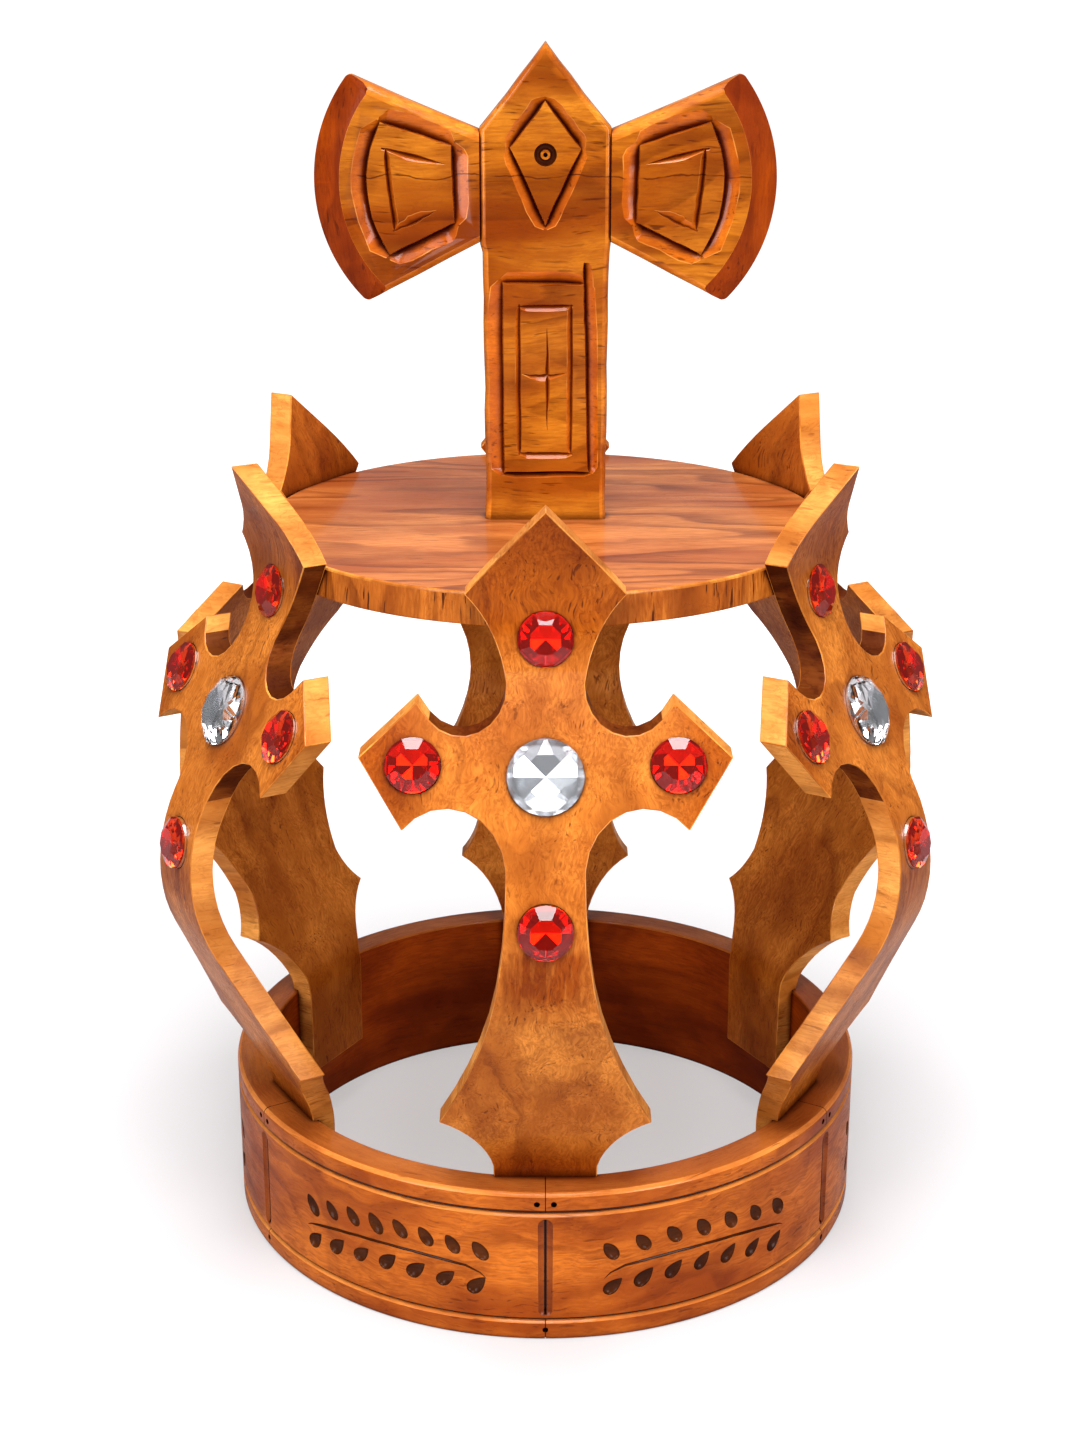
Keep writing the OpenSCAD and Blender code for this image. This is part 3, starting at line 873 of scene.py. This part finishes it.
# Distance from the axis and height, round the section of the ring
RING_SECTION = [
    (96, 0), (104.9, 0), (105.7, 0.35), (106, 1.1), (106, 5.9), (105.75, 6.25), (104.85, 6.9),
    (104.85, 7.15), (105.75, 7.75), (106, 8.1), (106, 43.9), (105.75, 44.25), (104.85, 44.85),
    (104.85, 45.1), (105.75, 45.75), (106, 46.3), (106, 49.9), (105.85, 50.7), (105.4, 51.4),
    (104.7, 51.85), (103.9, 52), (95.8, 52), (95.25, 51.8), (95, 51.2), (95, 0.8), (95.3, 0.2),
]
# The turned grooves: heights, half the width, and the distance from the axis at their bottom
GROOVES = (7, 45)
GROOVE_HALF = 1.3
GROOVE_BOTTOM = 104.9
# Faces of a turned groove more than this below its middle get a painted highlight, the others painted shade
GROOVE_WALL = 0.15
# The upright grooves at the joints, the open line in them, and the fine seams above and below.
# SEAM_BOTTOM is the distance from the axis that the seams are cut to
GOUGE_R = 3.3
GOUGE_DEPTH = 1.0
LINE_HALF = 0.5
LINE_FOOT_HALF = 0.35
SEAM_HALF = 0.15
SEAM_BOTTOM = 104.6
# Side and height of the nails at a joint
NAILS = ((-2.6, RING_H - 3.6), (2.6, RING_H - 3.6), (0, 3.6))
NAIL_R = 0.95
NAIL_DEPTH = 2.2
# A leaf is this much shallower than it is wide
LEAF_DEPTH = 0.62
# Leaves, height at the top of the arch, first and last angle, then a leaf's lean, length, width and point
LEAF_ROWS = ((8, 33.4, -19, 14.5, 36, 7.6, 4.6, 0.68), (7, 20.9, -18.5, 14, -46, 7.9, 4.8, 1.0))
ARCH_ANGLE = -4
ARCH_SAG = 0.011
# Angle from the middle of a panel, height and half width of the stem
STEM = [
    (-20.5, 20.5, 0.15), (-19, 23.2, 0.45), (-16.5, 25.2, 0.7), (-12, 26.2, 0.8), (-7, 26.8, 0.8),
    (-2, 26.8, 0.75), (4, 26.2, 0.8), (9, 25.0, 0.85), (13, 23.5, 0.75), (15.2, 22.4, 0.45),
    (16.4, 21.2, 0.15),
]


def outline_curve(name, points, closed=False):
    """A poly curve through points."""
    start_piece(name)
    draw(points, closed)
    if closed:
        bpy.ops.mesh.delete(type="ONLY_FACE")
    bpy.ops.object.mode_set(mode="OBJECT")
    bpy.ops.object.convert(target="CURVE")
    return bpy.context.object


def swept(name, path, section=None):
    """A bar along points that carry a size. Its section is round, or drawn in a flat path's plane."""
    points = [p[:3] for p in path]
    bar = outline_curve(name, points)
    shape = bar.data
    shape.use_fill_caps = True
    if section:
        shape.dimensions = "2D"
        shape.bevel_mode = "OBJECT"
        shape.bevel_object = outline_curve("section", section, True)
    else:
        shape.bevel_depth = MM
        shape.bevel_resolution = 2
    knots = shape.splines[0].points
    first, last = [(knots[k].co.xyz - at(points[0])).length for k in (0, -1)]
    for knot, place in zip(knots, path if first < last else path[::-1]):
        knot.radius = place[3]
    drawn = shape.bevel_object
    pick(bar)
    bpy.ops.object.convert(target="MESH")
    if drawn:
        bpy.data.curves.remove(drawn.data)
    bpy.ops.object.mode_set(mode="EDIT")
    return end_piece()


def on_ring(angle, out=0.0):
    """A place on the ring's outer face, its middle turned by an angle in degrees."""
    turn = Matrix.Rotation(math.radians(angle), 4, "Z")
    return turn @ Matrix.Translation(at((0, -RING_OUTER - out, 0)))


def leaf_cutter(long, wide, point):
    """A drop, blunt below and the more pointed above the higher its last number is."""
    blunt, rows = 0.52, 14
    top = blunt / (blunt + point)
    most = top ** blunt * (1 - top) ** point
    side = []
    for k in range(rows + 1):
        t = (1 - math.cos(math.pi * k / rows)) / 2
        side.append((wide / 2 * t ** blunt * (1 - t) ** point / most, long * (t - 0.5)))
    return lathe("leaf", side, steps=16, closed=False)


def panel_cutters(i):
    """The leaves and the stem of the panel after rib i. Its sprig starts at the left if i is odd."""
    side = 1 if i % 2 else -1
    middle = (i - 0.5) * 360 / RIB_COUNT
    leaves = []
    for count, top, first, last, lean, long, wide, point in LEAF_ROWS:
        model = placed(leaf_cutter(long, wide, point), Matrix.Scale(LEAF_DEPTH, 4, (0, 1, 0)))
        count -= 1 if i % 2 and count == 8 else 0
        for k in range(count):
            angle = first + (last - first) * k / (count - 1)
            height = top - ARCH_SAG * (angle - ARCH_ANGLE) ** 2
            drift = random.uniform(-1, 1)
            turn = Matrix.Rotation(-math.radians(lean + 4 * drift), 4, "Y")
            lift = Matrix.Translation(at((0, 0, height + 0.3 * drift)))
            size = 1 + 0.06 * random.uniform(-1, 1)
            place = on_ring(middle + side * angle, 0.1) @ lift @ turn @ Matrix.Scale(size, 4)
            leaves.append(twin(model, "leaf", place))
        bpy.data.meshes.remove(model.data)
    path = []
    for angle, height, wide in STEM:
        spot = on_ring(middle + side * angle, 0.15).translation / MM
        path.append((spot.x, spot.y, height, wide * 0.72))
    return leaves, swept("stem", path)


def groove_cutter(low, high):
    """The broad groove at a joint: a round bar with round ends, laid into the ring's face."""
    profile = []
    for k in range(-6, 7):
        turn = math.radians(15 * k)
        end = low + GOUGE_R if k < 0 else high - GOUGE_R
        out = GOUGE_R * math.cos(turn) if abs(k) < 6 else 0
        profile.append((out, end + GOUGE_R * math.sin(turn)))
    groove = lathe("groove", profile, steps=48, closed=False)
    placed(groove, Matrix.Translation(at((0, -RING_OUTER - GOUGE_R + GOUGE_DEPTH, 0))))
    return dress(groove, FINISH["ring_groove"])


def seam_cutters(low, high):
    """The fine seams through the bands above and below, and the open line in the groove."""
    inner, outer, over, under = RING_INNER - 1, RING_OUTER + 1, RING_H + 1, -1
    band_low, band_high = GROOVES[0] - 0.2, GROOVES[1] + 0.2
    top_floor = RING_H - 0.7
    upper = [(-inner, over), (-outer, over), (-outer, band_high), (-SEAM_BOTTOM, band_high),
             (-SEAM_BOTTOM, top_floor), (-inner, top_floor)]
    lower = [(-outer, under), (-SEAM_BOTTOM, under), (-SEAM_BOTTOM, band_low), (-outer, band_low)]
    cuts = [prism("seam", [(-SEAM_HALF, y, z) for y, z in path], (2 * SEAM_HALF, 0, 0))
            for path in (upper, lower)]
    deep = -RING_OUTER + 2
    cuts.append(prism("line", [(-LINE_HALF, -outer, low + 1), (LINE_HALF, -outer, low + 1),
                               (LINE_FOOT_HALF, deep, low + 1.6), (-LINE_FOOT_HALF, deep, low + 1.6)],
                      (0, 0, high - low - 2.4)))
    return cuts


def nail_cutters():
    """The round holes of the sunk nails."""
    level = Matrix.Rotation(math.pi / 2, 4, "X")
    spots = [Matrix.Translation(at((x, -RING_OUTER + NAIL_DEPTH, z))) for x, z in NAILS]
    return [placed(drum("nail", NAIL_R, 0, 5, 12), spot @ level) for spot in spots]


def round_all(pieces, name):
    """Copies pieces to all six directions and joins them."""
    more = [twin(p, p.name, rib_turn(i)) for i in range(2, RIB_COUNT + 1) for p in pieces]
    return joined(pieces + more, name)


RING_PARTS = ("ring", "ring_cut_and_shade", "ring_edge_highlight", "ring_top_sheen", "ring_inside_shade")


def ring_part(spot):
    """The finish at a place on the turned ring. In a turned groove the lower wall gets a painted highlight
    and the other faces dark wood with painted shade; the outer top edge gets a painted highlight, the top a
    painted sheen and the inner wall painted shade.
    """
    out = spot.xy.length
    above = min((spot.z - z for z in GROOVES), key=abs)
    if abs(above) < GROOVE_HALF and GROOVE_BOTTOM - 0.3 < out < RING_OUTER - 0.01:
        return "ring_edge_highlight" if above < -GROOVE_WALL else "ring_cut_and_shade"
    if out > RING_OUTER - 1.8 and RING_H - 1.5 < spot.z < RING_H - 0.1:
        return "ring_edge_highlight"
    if spot.z > RING_H - 0.5:
        return "ring_top_sheen"
    return "ring_inside_shade" if out < RING_INNER + 1 else "ring"


def make_ring():
    """The ring, turned and then carved all round."""
    ring = dress(lathe("ring", RING_SECTION, steps=240), *[FINISH[part] for part in RING_PARTS])
    for face in ring.data.polygons:
        face.material_index = RING_PARTS.index(ring_part(Vector(face.center) / MM))
    low, high = GROOVES[0] + 0.8, GROOVES[1] - 0.8
    groove, seams, nails = groove_cutter(low, high), seam_cutters(low, high), nail_cutters()
    for cutter in nails + seams:
        dress(cutter, FINISH["ring_cut_and_shade"])
    for cutter in [groove] + seams:
        carve(ring, round_all([cutter], cutter.name))
    carve(ring, round_all(nails, "nails"))
    leaves, stems = [], []
    for i in range(1, RIB_COUNT + 1):
        some, stem = panel_cutters(i)
        leaves += some
        stems.append(stem)
    for cutters, name in ((stems, "stems"), (leaves, "leaves")):
        carve(ring, dress(joined(cutters, name), FINISH["ring_leaf"]))
    smooth(ring, 25)
    hand_in(ring, "ring_wood", "base_ring")
    ring.name = "ring"


# Distance from the axis and height, round the section of the disc
DISC_SECTION = [
    (0, DISC_LOW), (DISC_R - 0.9, DISC_LOW), (DISC_R - 0.25, DISC_LOW + 0.2), (DISC_R, DISC_LOW + 0.8),
    (DISC_R, DISC_TOP - 0.9), (DISC_R - 0.2, DISC_TOP - 0.3), (DISC_R - 0.8, DISC_TOP), (0, DISC_TOP),
]


def make_disc():
    """The disc, with a lighter line along its upper edge: a painted highlight."""
    disc = dress(lathe("disc", DISC_SECTION, steps=240, closed=False),
                 FINISH["disc_top"], FINISH["disc_rim"], FINISH["rib_edge_highlight"])
    rim, edge = 1, 2
    for face in disc.data.polygons:
        spot = Vector(face.center) / MM
        if DISC_LOW + 0.1 < spot.z < DISC_TOP - 0.7:
            face.material_index = rim
        elif spot.z > DISC_TOP - 0.7 and spot.xy.length > DISC_R - 1.5:
            face.material_index = edge
    smooth(disc, 40)
    hand_in(disc, "disc_wood", "top_disc")


# The post, with its heights above the disc: half its width at the head and at the foot, shoulder and
# point, and the short slope below the head with half the width there, left and right
POST_HALF = 20
POST_FOOT_HALF = 19.1
SHOULDER = 121
POINT = 146
NARROW_LOW = 84
NARROW_HIGH = 86.5
NARROW_HALF = (19.3, 19.7)
# Height of the drilled ring, and where the blades start beside the axis
DRILL_Z = 113.3
BLADE_GAP = 20


def board_points(points, y, shift=0.0):
    """Points of a flat drawing put on a plane at y, above the disc."""
    return [(x + shift, y, DISC_TOP + z) for x, z in points]


def axe_board(name, outline, shift=0.0):
    """A board of the axe's thickness with a drawn outline."""
    board = prism(name, board_points(outline, -AXE_HALF_T, shift), (0, 2 * AXE_HALF_T, 0))
    return dress(board, FINISH["axe"])


def gouge(path, out, depth, wall, shift=0.0):
    """Cutter of one carved stroke on the front face: a slope to the left of its path, a steep wall
    to the right."""
    above = 0.8
    grow = 1 + above / depth
    section = [(-out * grow, above, 0), (0, -depth, 0), (wall * grow, above, 0)]
    cut = swept("gouge", [(x + shift, z, 0, size) for x, z, size in path], section)
    face = Matrix.Translation(at((0, -AXE_HALF_T, DISC_TOP)))
    placed(cut, face @ Matrix.Rotation(math.pi / 2, 4, "X"))
    return dress(cut, FINISH["axe_slope"])


def stroke(a, b, through=None, start=0.3, end=0.3, taper=2.6, over=0.5):
    """A carved line from a to b, shallow at its ends and a little unsteady: side, height and size."""
    a, b = Vector(a), Vector(b)
    run = (b - a).normalized() * over
    if through:
        spots = [a] + [Vector(p) for p in arc_through(a, through, b, 10)]
    else:
        between = [a.lerp(b, t) for t in (0.25, 0.4, 0.55, 0.7, 0.85)]
        spots = [a - run, a + run * 3] + between + [b - run * 3, b + run]
    across = Vector((-run.y, run.x)).normalized()
    out = []
    for spot in spots:
        near_start = min(1, (spot - spots[0]).length / taper)
        near_end = min(1, (spot - spots[-1]).length / taper)
        size = min(start + (1 - start) * near_start, end + (1 - end) * near_end)
        spot = spot + across * random.uniform(-0.14, 0.14)
        out.append((spot.x, spot.y, size * random.uniform(0.93, 1.07)))
    return out


def loop(points, out, depth, wall, shift=0.0, bent=()):
    """Strokes round a closed outline, one to each side. A side in bent is an arc through a point."""
    bent = dict(bent)
    cuts = []
    for k, a in enumerate(points):
        b = points[(k + 1) % len(points)]
        cuts.append(gouge(stroke(a, b, bent.get(k)), out[k], depth, wall, shift))
    return cuts


def both_sides(board, cutters):
    """Cuts the front, then the back as its mirror image."""
    for cutter in cutters:
        other = twin(cutter, cutter.name + "_back", Matrix.Scale(-1, 4, (0, 1, 0)))
        carve(board, cutter)
        carve(board, other)


def drilled_ring():
    """The round groove and the small hole in the diamond."""
    profile = [(1.4, -1), (3.5, -1), (3.4, 0.7), (2.8, 1.3), (2.0, 1.3), (1.5, 0.7)]
    spot = Matrix.Translation(at((0, -AXE_HALF_T, DISC_TOP + DRILL_Z)))
    ring = placed(lathe("drill", profile, steps=32), spot @ Matrix.Rotation(-math.pi / 2, 4, "X"))
    hole = placed(drum("hole", 0.7, -1.4, 1, 12), spot @ Matrix.Rotation(math.pi / 2, 4, "X"))
    return [dress(ring, FINISH["axe_cut"]), dress(hole, FINISH["axe_cut"])]


def wavy(points, size, pitch=7.0):
    """A closed outline with extra corners along its sides, pushed in a little as a hand leaves it."""
    out = []
    for a, b in zip(points, points[1:] + points[:1]):
        a, b = Vector(a), Vector(b)
        run = b - a
        count = max(1, round(run.length / pitch))
        across = Vector((-run.y, run.x)).normalized()
        for k in range(count):
            push = random.uniform(0, size) if k else 0
            out.append(tuple(a + run * k / count + across * push))
    return out


def wavy_side(a, b, size):
    """The same for one side, from a to the last point before b."""
    points = wavy([a, b], size)
    return points[:len(points) // 2]


def round_edges(piece, width, finish, test, segments=3):
    """Rounds the edges whose middle passes a test, and gives them a finish."""
    names = [m.name for m in piece.data.materials]
    if finish.name not in names:
        piece.data.materials.append(finish)
        names.append(finish.name)
    edit(piece)
    bpy.ops.mesh.select_mode(type="EDGE")
    bpy.ops.mesh.select_all(action="DESELECT")
    mesh = bmesh.from_edit_mesh(piece.data)
    for edge in mesh.edges:
        middle = (edge.verts[0].co + edge.verts[1].co) / 2 / MM
        sharp = edge.calc_face_angle(0) > math.radians(25)
        edge.select_set(sharp and test(edge, middle))
    bmesh.update_edit_mesh(piece.data)
    bpy.ops.mesh.bevel(offset=width * MM, segments=segments, affect="EDGES", clamp_overlap=True,
                       material=names.index(finish.name), miter_outer="SHARP")
    bpy.ops.mesh.select_mode(type="VERT")
    bpy.ops.object.mode_set(mode="OBJECT")
    return piece


def post_outline():
    """The post from its point down the left and up the right, a little narrower below its head."""
    left_half, right_half = NARROW_HALF
    point, foot = (0, POINT), (-POST_FOOT_HALF, 0)
    left = wavy_side(point, (-POST_HALF, SHOULDER), 0.4)[:-1]
    left += [(-POST_HALF, SHOULDER), (-POST_HALF, NARROW_HIGH)]
    left += wavy_side((-left_half, NARROW_LOW), foot, 0.5)
    right = [(POST_FOOT_HALF, 0)] + wavy_side((POST_FOOT_HALF, 0.01), (right_half, NARROW_LOW), 0.5)[1:]
    right += [(right_half, NARROW_LOW), (POST_HALF, NARROW_HIGH), (POST_HALF, SHOULDER)]
    right += wavy_side((POST_HALF, SHOULDER), point, 0.4)[1:]
    return left + [foot] + right


def on_face_edge(middle):
    """Whether an edge lies on the front or the back face of the axe."""
    return abs(middle.y) > AXE_HALF_T - 0.1


def make_post():
    """The post with its diamond and its panel, the same on both faces."""
    post = axe_board("axe_post", post_outline())
    round_edges(post, 1.8, FINISH["axe_round"], lambda e, m: on_face_edge(m) and m.z > DISC_TOP + 0.1)
    diamond = [(-11, 115.2), (0, 129.5), (11, 115), (0, 91.8)]
    panel = [(-13.4, 15), (-13.5, 75.2), (12.2, 74.6), (13.8, 15.2)]
    both_sides(post, [
        *loop(diamond, [3.1, 3.1, 3.0, 3.2], 2.1, 0.5),
        *loop(panel, [4.6, 3.4, 3.3, 1.4], 1.9, 0.55),
        gouge(stroke((12.0, 80.5), (12.4, 60), start=0.6), 2.6, 1.9, 0.5),
        gouge(stroke((-8, 21.5), (-8.1, 67.8)), 1.3, 1.2, 0.5),
        gouge(stroke((8, 67.8), (-8, 67.6)), 1.6, 1.2, 0.5),
        gouge(stroke((8, 21.5), (8.1, 67.8)), 1.5, 1.2, 0.5),
        gouge(stroke((8, 21.3), (-8, 21.5)), 1.6, 1.2, 0.5),
        gouge(stroke((0.6, 60.5), (0.5, 29.4), start=0.1, end=0.1, taper=14), 0.9, 1.2, 0.7),
        gouge(stroke((6.6, 47), (-7.4, 46.6), (0, 46.1), start=0.1, end=0.1, taper=7), 1.9, 1.3, 0.5),
        *drilled_ring(),
    ])
    smooth(post)
    hand_in(post, "axe_wood", "axe_post")
    post.name = "post"


# A blade, drawn from its inner side: the cutting edge is an arc about the middle
EDGE_R = 51
EDGE_MIDDLE = (-0.5, 105)
EDGE_T = 0.8
BEVEL_W = 8
CORNER_R = 2.4
BLADE_TOP = ((0, 120.5), (65, 148))
BLADE_LOW = ((0, 87), (65, 53))


def off_line(line, m):
    """How far a point lies from a line of the blade's drawing."""
    a, b = [Vector((x + BLADE_GAP, z + DISC_TOP)) for x, z in line]
    way = (b - a).normalized()
    gap = Vector((m.x, m.z)) - a
    return abs(way.x * gap.y - way.y * gap.x)


def corner_cutter(line):
    """Rounds the corner where a side of the blade meets its cutting edge."""
    a, b = Vector(line[0]), Vector(line[1])
    middle = Vector(EDGE_MIDDLE)
    way = (b - a).normalized()
    along = (middle - a).dot(way)
    aside = (middle - a - way * along).length
    corner = a + way * (along + math.sqrt(EDGE_R ** 2 - aside ** 2))
    spoke = (corner - middle).normalized()
    round_way = Vector((-spoke.y, spoke.x))
    if round_way.y * spoke.y > 0:
        round_way = -round_way
    arc = bend(a, corner, corner + round_way * 20, CORNER_R)
    out = (corner - (arc[0] + arc[-1]) / 2).normalized() * 3
    points = arc + [arc[-1] + out, corner + out, arc[0] + out]
    cut = prism("corner", board_points(points, -AXE_HALF_T - 1, BLADE_GAP), (0, 2 * AXE_HALF_T + 2, 0))
    # The rounded corner gets a painted highlight
    return dress(cut, FINISH["axe_edge_highlight"])


def edge_lens():
    """The round body that both bevels are cut from, thick in the middle and thin at the cutting edge."""
    slope = (AXE_HALF_T - EDGE_T) / BEVEL_W
    over = AXE_HALF_T + 1
    flat = EDGE_R - BEVEL_W - 1 / slope
    profile = [(0, -over), (flat, -over), (EDGE_R, -EDGE_T), (EDGE_R, EDGE_T), (flat, over), (0, over)]
    lens = lathe("lens", profile, steps=240, closed=False)
    x, z = EDGE_MIDDLE
    place = Matrix.Translation(at((BLADE_GAP + x, 0, DISC_TOP + z)))
    placed(lens, place @ Matrix.Rotation(math.pi / 2, 4, "X"))
    dress(lens, FINISH["axe_bevel"], FINISH["axe_edge_highlight"])
    # The cutting edge's face gets a painted highlight
    for face in lens.data.polygons:
        face.material_index = int(abs(face.normal.y) < 0.2)
    merge_flats(lens)
    return lens


def blade_blank():
    """The right blade before it is carved. Its inner side stays straight where it meets the post."""
    outline = wavy([BLADE_LOW[0], BLADE_LOW[1], BLADE_TOP[1], BLADE_TOP[0]], 0.3, 11)
    blade = axe_board("axe_blade_right", [p for p in outline if p[0] > 0.5 or p[0] == 0], BLADE_GAP)
    for line, width in ((BLADE_TOP, 3.2), (BLADE_LOW, 2.0)):
        round_edges(blade, width, FINISH["axe_round"],
                    lambda e, m: on_face_edge(m) and off_line(line, m) < 0.5)
    carve(blade, edge_lens(), "INTERSECT")
    merge_close(blade, 0.3)
    for line in (BLADE_TOP, BLADE_LOW):
        carve(blade, corner_cutter(line))
    return blade


def make_blades():
    """The right blade with its carved fan, and the left one as its mirror image."""
    blade = blade_blank()
    fan = [(8.3, 116.3), (29.8, 123.2), (27.6, 83.1), (7.4, 92.9)]
    arch = [(28.4, 115), (27.4, 103), (26, 91)]
    low_arc = [(13.1, 96.9), (19.5, 93.4), (26.4, 90.6)]
    both_sides(blade, [
        *loop(fan, [5.0, 4.2, 4.2, 4.6], 2.3, 0.55, BLADE_GAP, {1: (34.6, 107)}),
        gouge(stroke((29, 115.2), (10.9, 110.7), end=0.05, taper=9), 1.8, 1.6, 0.7, BLADE_GAP),
        gouge(stroke(arch[2], arch[0], arch[1]), 1.5, 1.6, 0.6, BLADE_GAP),
        gouge(stroke(low_arc[0], low_arc[2], low_arc[1], start=0.05, taper=6), 2.6, 1.5, 0.5, BLADE_GAP),
    ])
    bevel = [m.name for m in blade.data.materials].index("axe_bevel")
    # The bevel's edges are rounded and get a painted highlight
    round_edges(blade, 0.5, FINISH["axe_edge_highlight"],
                lambda e, m: any(f.material_index == bevel for f in e.link_faces), 2)
    smooth(blade)
    other = twin(blade, "axe_blade_left", Matrix.Scale(-1, 4, (1, 0, 0)))
    for piece, side in ((blade, "right"), (other, "left")):
        hand_in(piece, "axe_wood", f"axe_blade_{side}")
        piece.name = f"blade_{side}"


def facet(turn, slope, radius, height, under=False):
    """Grinds one flat on the solid in edit mode, at a radius and height."""
    way = Vector((math.sin(slope) * math.cos(turn), math.sin(slope) * math.sin(turn), math.cos(slope)))
    if under:
        way.z = -way.z
    spot = at((radius * math.cos(turn), radius * math.sin(turn), height))
    bpy.ops.mesh.select_all(action="SELECT")
    bpy.ops.mesh.bisect(plane_co=spot, plane_no=way, use_fill=True, clear_outer=True, threshold=1e-7)


def back_facets(radius, height, tip):
    """The eight flats of a stone's back, meeting in a point."""
    slope = math.atan((height - tip) / radius)
    for k in range(8):
        facet(math.tau * (k + 0.5) / 8, slope, radius, height, under=True)


# The stones: air round them, foil, top of the foil cup, height of the girdle above it,
# and the table's width as a share of the stone's
CUP_AIR = 0.05
FOIL = 0.06
CUP_TOP = 0.63
GIRDLE = 0.6
TABLE = 0.58


def cut_stone(name, across, high, clear):
    """A cut stone in a thin foil cup. Zero is the face of the rib.
    A red one has eight flats round its table, a clear one has sixteen."""
    radius = across / 2 - CUP_AIR
    top = high - SEAT_DEPTH + GAP / 2
    low = -SEAT_DEPTH + GAP / 2
    girdle = CUP_TOP + GIRDLE
    gem = drum("gem", radius, low, top, 48)
    edit(gem)
    corner = radius * TABLE
    flat = corner * math.cos(math.pi / 8)
    reach = radius / math.cos(math.pi / 8) if clear else radius * 0.98
    for k in range(8):
        facet(math.tau * k / 8, math.atan((top - girdle) / (reach - flat)), flat, top)
    if clear:
        for k in range(8):
            facet(math.tau * (k + 0.5) / 8, math.atan((top - girdle) / (radius - corner)), corner, top)
    back_facets(radius, CUP_TOP + 0.1, low + 2 * FOIL)
    end_piece()
    dress(gem, FINISH["crystal" if clear else "ruby"])
    backing = FINISH["soft_foil" if clear else "foil"]
    cup = dress(drum("cup", radius, low, CUP_TOP, 64), backing)
    hollow = drum("hollow", radius - 2 * FOIL, low, girdle + 1, 48)
    edit(hollow)
    back_facets(radius, CUP_TOP + 0.02, low + FOIL)
    end_piece()
    dress(hollow, backing)
    carve(cup, hollow)
    return joined([gem, cup], name)


def make_stones():
    """Thirty stones from two models, one red and one clear."""
    models = {}
    for name, x, z, across, high in STONES:
        clear = name == "stone_middle"
        if clear not in models:
            models[clear] = cut_stone("model", across, high, clear)
        for i in range(1, RIB_COUNT + 1):
            node = f"{name}_{i}"
            stone = twin(models[clear], node.replace("stone", "gem"), on_face(x, z, i))
            hand_in(stone, "clear_stone" if clear else "red_stone", node)
    for model in models.values():
        bpy.data.meshes.remove(model.data)


# Studio

CAMERA_PLACE = (-0.00074, -0.721, 0.426)
CAMERA_TILT = 70.17
CAMERA_LENS = 57.63
CAMERA_SENSOR = 36


def make_camera():
    """The photograph's view."""
    bpy.ops.object.camera_add(location=CAMERA_PLACE, rotation=(math.radians(CAMERA_TILT), 0, 0))
    camera = bpy.context.object
    camera.data.sensor_width = CAMERA_SENSOR
    camera.data.lens = CAMERA_LENS
    camera.data.clip_start = 0.01
    camera.data.clip_end = 60
    bpy.context.scene.camera = camera


def lamp(name, place, target, wide, high, power):
    """A soft rectangular light that faces a target."""
    bpy.ops.object.light_add(type="AREA", location=place)
    light = bpy.context.object
    light.name = name
    light.data.shape = "RECTANGLE"
    light.data.size = wide
    light.data.size_y = high
    light.data.energy = power
    way = Vector(target) - Vector(place)
    light.rotation_euler = way.to_track_quat("-Z", "Y").to_euler()


# Glow of the paper next to the crown, weaker than further out: a painted shadow round the crown
PAPER_GLOW = 0.40
WORLD_LIGHT = 0.19
# Name, place, what it faces, width, height and power of each lamp
LAMPS = [
    ("top_box", (0, -0.36, 1.35), (0, -0.36, 0), 0.6, 1.2, 28),
    ("front_box", (0, -1.2, 1.15), (0, 0, 0.2), 0.5, 0.3, 1.7),
    ("right_box", (0.88, -1.12, 0.50), (0, 0, 0.2), 0.6, 0.6, 9.8),
    ("left_box", (-0.88, -1.12, 0.57), (0, 0, 0.2), 0.6, 0.9, 10.8),
    ("back_box", (0, 1.6, 0.68), (0, 0, 0.2), 1.6, 0.7, 0.9),
]


def paper_finish():
    """White paper that the camera sees brighter than it is lit, the more so away from the crown, so that
    its weaker glow near the crown paints a soft shadow round it.
    """
    paper = plain_finish("paper", Base_Color=(0.46, 0.44, 0.45, 1), Roughness=0.8, Specular_IOR_Level=0,
                         Emission_Color=(1, 1, 1, 1))
    tree = paper.node_tree
    shader = tree.nodes["Principled BSDF"]
    seen = tree.nodes.new("ShaderNodeLightPath").outputs["Is Camera Ray"]
    place = tree.nodes.new("ShaderNodeTexCoord").outputs["Object"]
    glow = spread(tree, vector_node(tree, "LENGTH", place), 0.13, 0.60, PAPER_GLOW, 1.0)
    put(shader.inputs["Emission Strength"], math_node(tree, "MULTIPLY", seen, glow))
    return paper


def make_studio():
    """A round sheet of paper, an even white surrounding and soft lamps."""
    scene = bpy.context.scene
    scene.view_settings.view_transform = "Standard"
    bpy.ops.mesh.primitive_circle_add(vertices=96, radius=14, fill_type="NGON")
    floor = bpy.context.object
    floor.name = "floor"
    dress(floor, paper_finish())
    world = bpy.data.worlds.new("studio")
    scene.world = world
    world.use_nodes = True
    tree = world.node_tree
    back = tree.nodes["Background"]
    seen = tree.nodes.new("ShaderNodeLightPath").outputs["Is Camera Ray"]
    put(back.inputs["Strength"], spread(tree, seen, 0, 1, WORLD_LIGHT, 1.0))
    back.inputs["Color"].default_value = (1, 1, 1, 1)
    for row in LAMPS:
        lamp(*row)


make_camera()
for make in (make_ring, make_ribs, make_disc, make_post, make_blades, make_stones):
    random.seed(7)
    make()
make_studio()
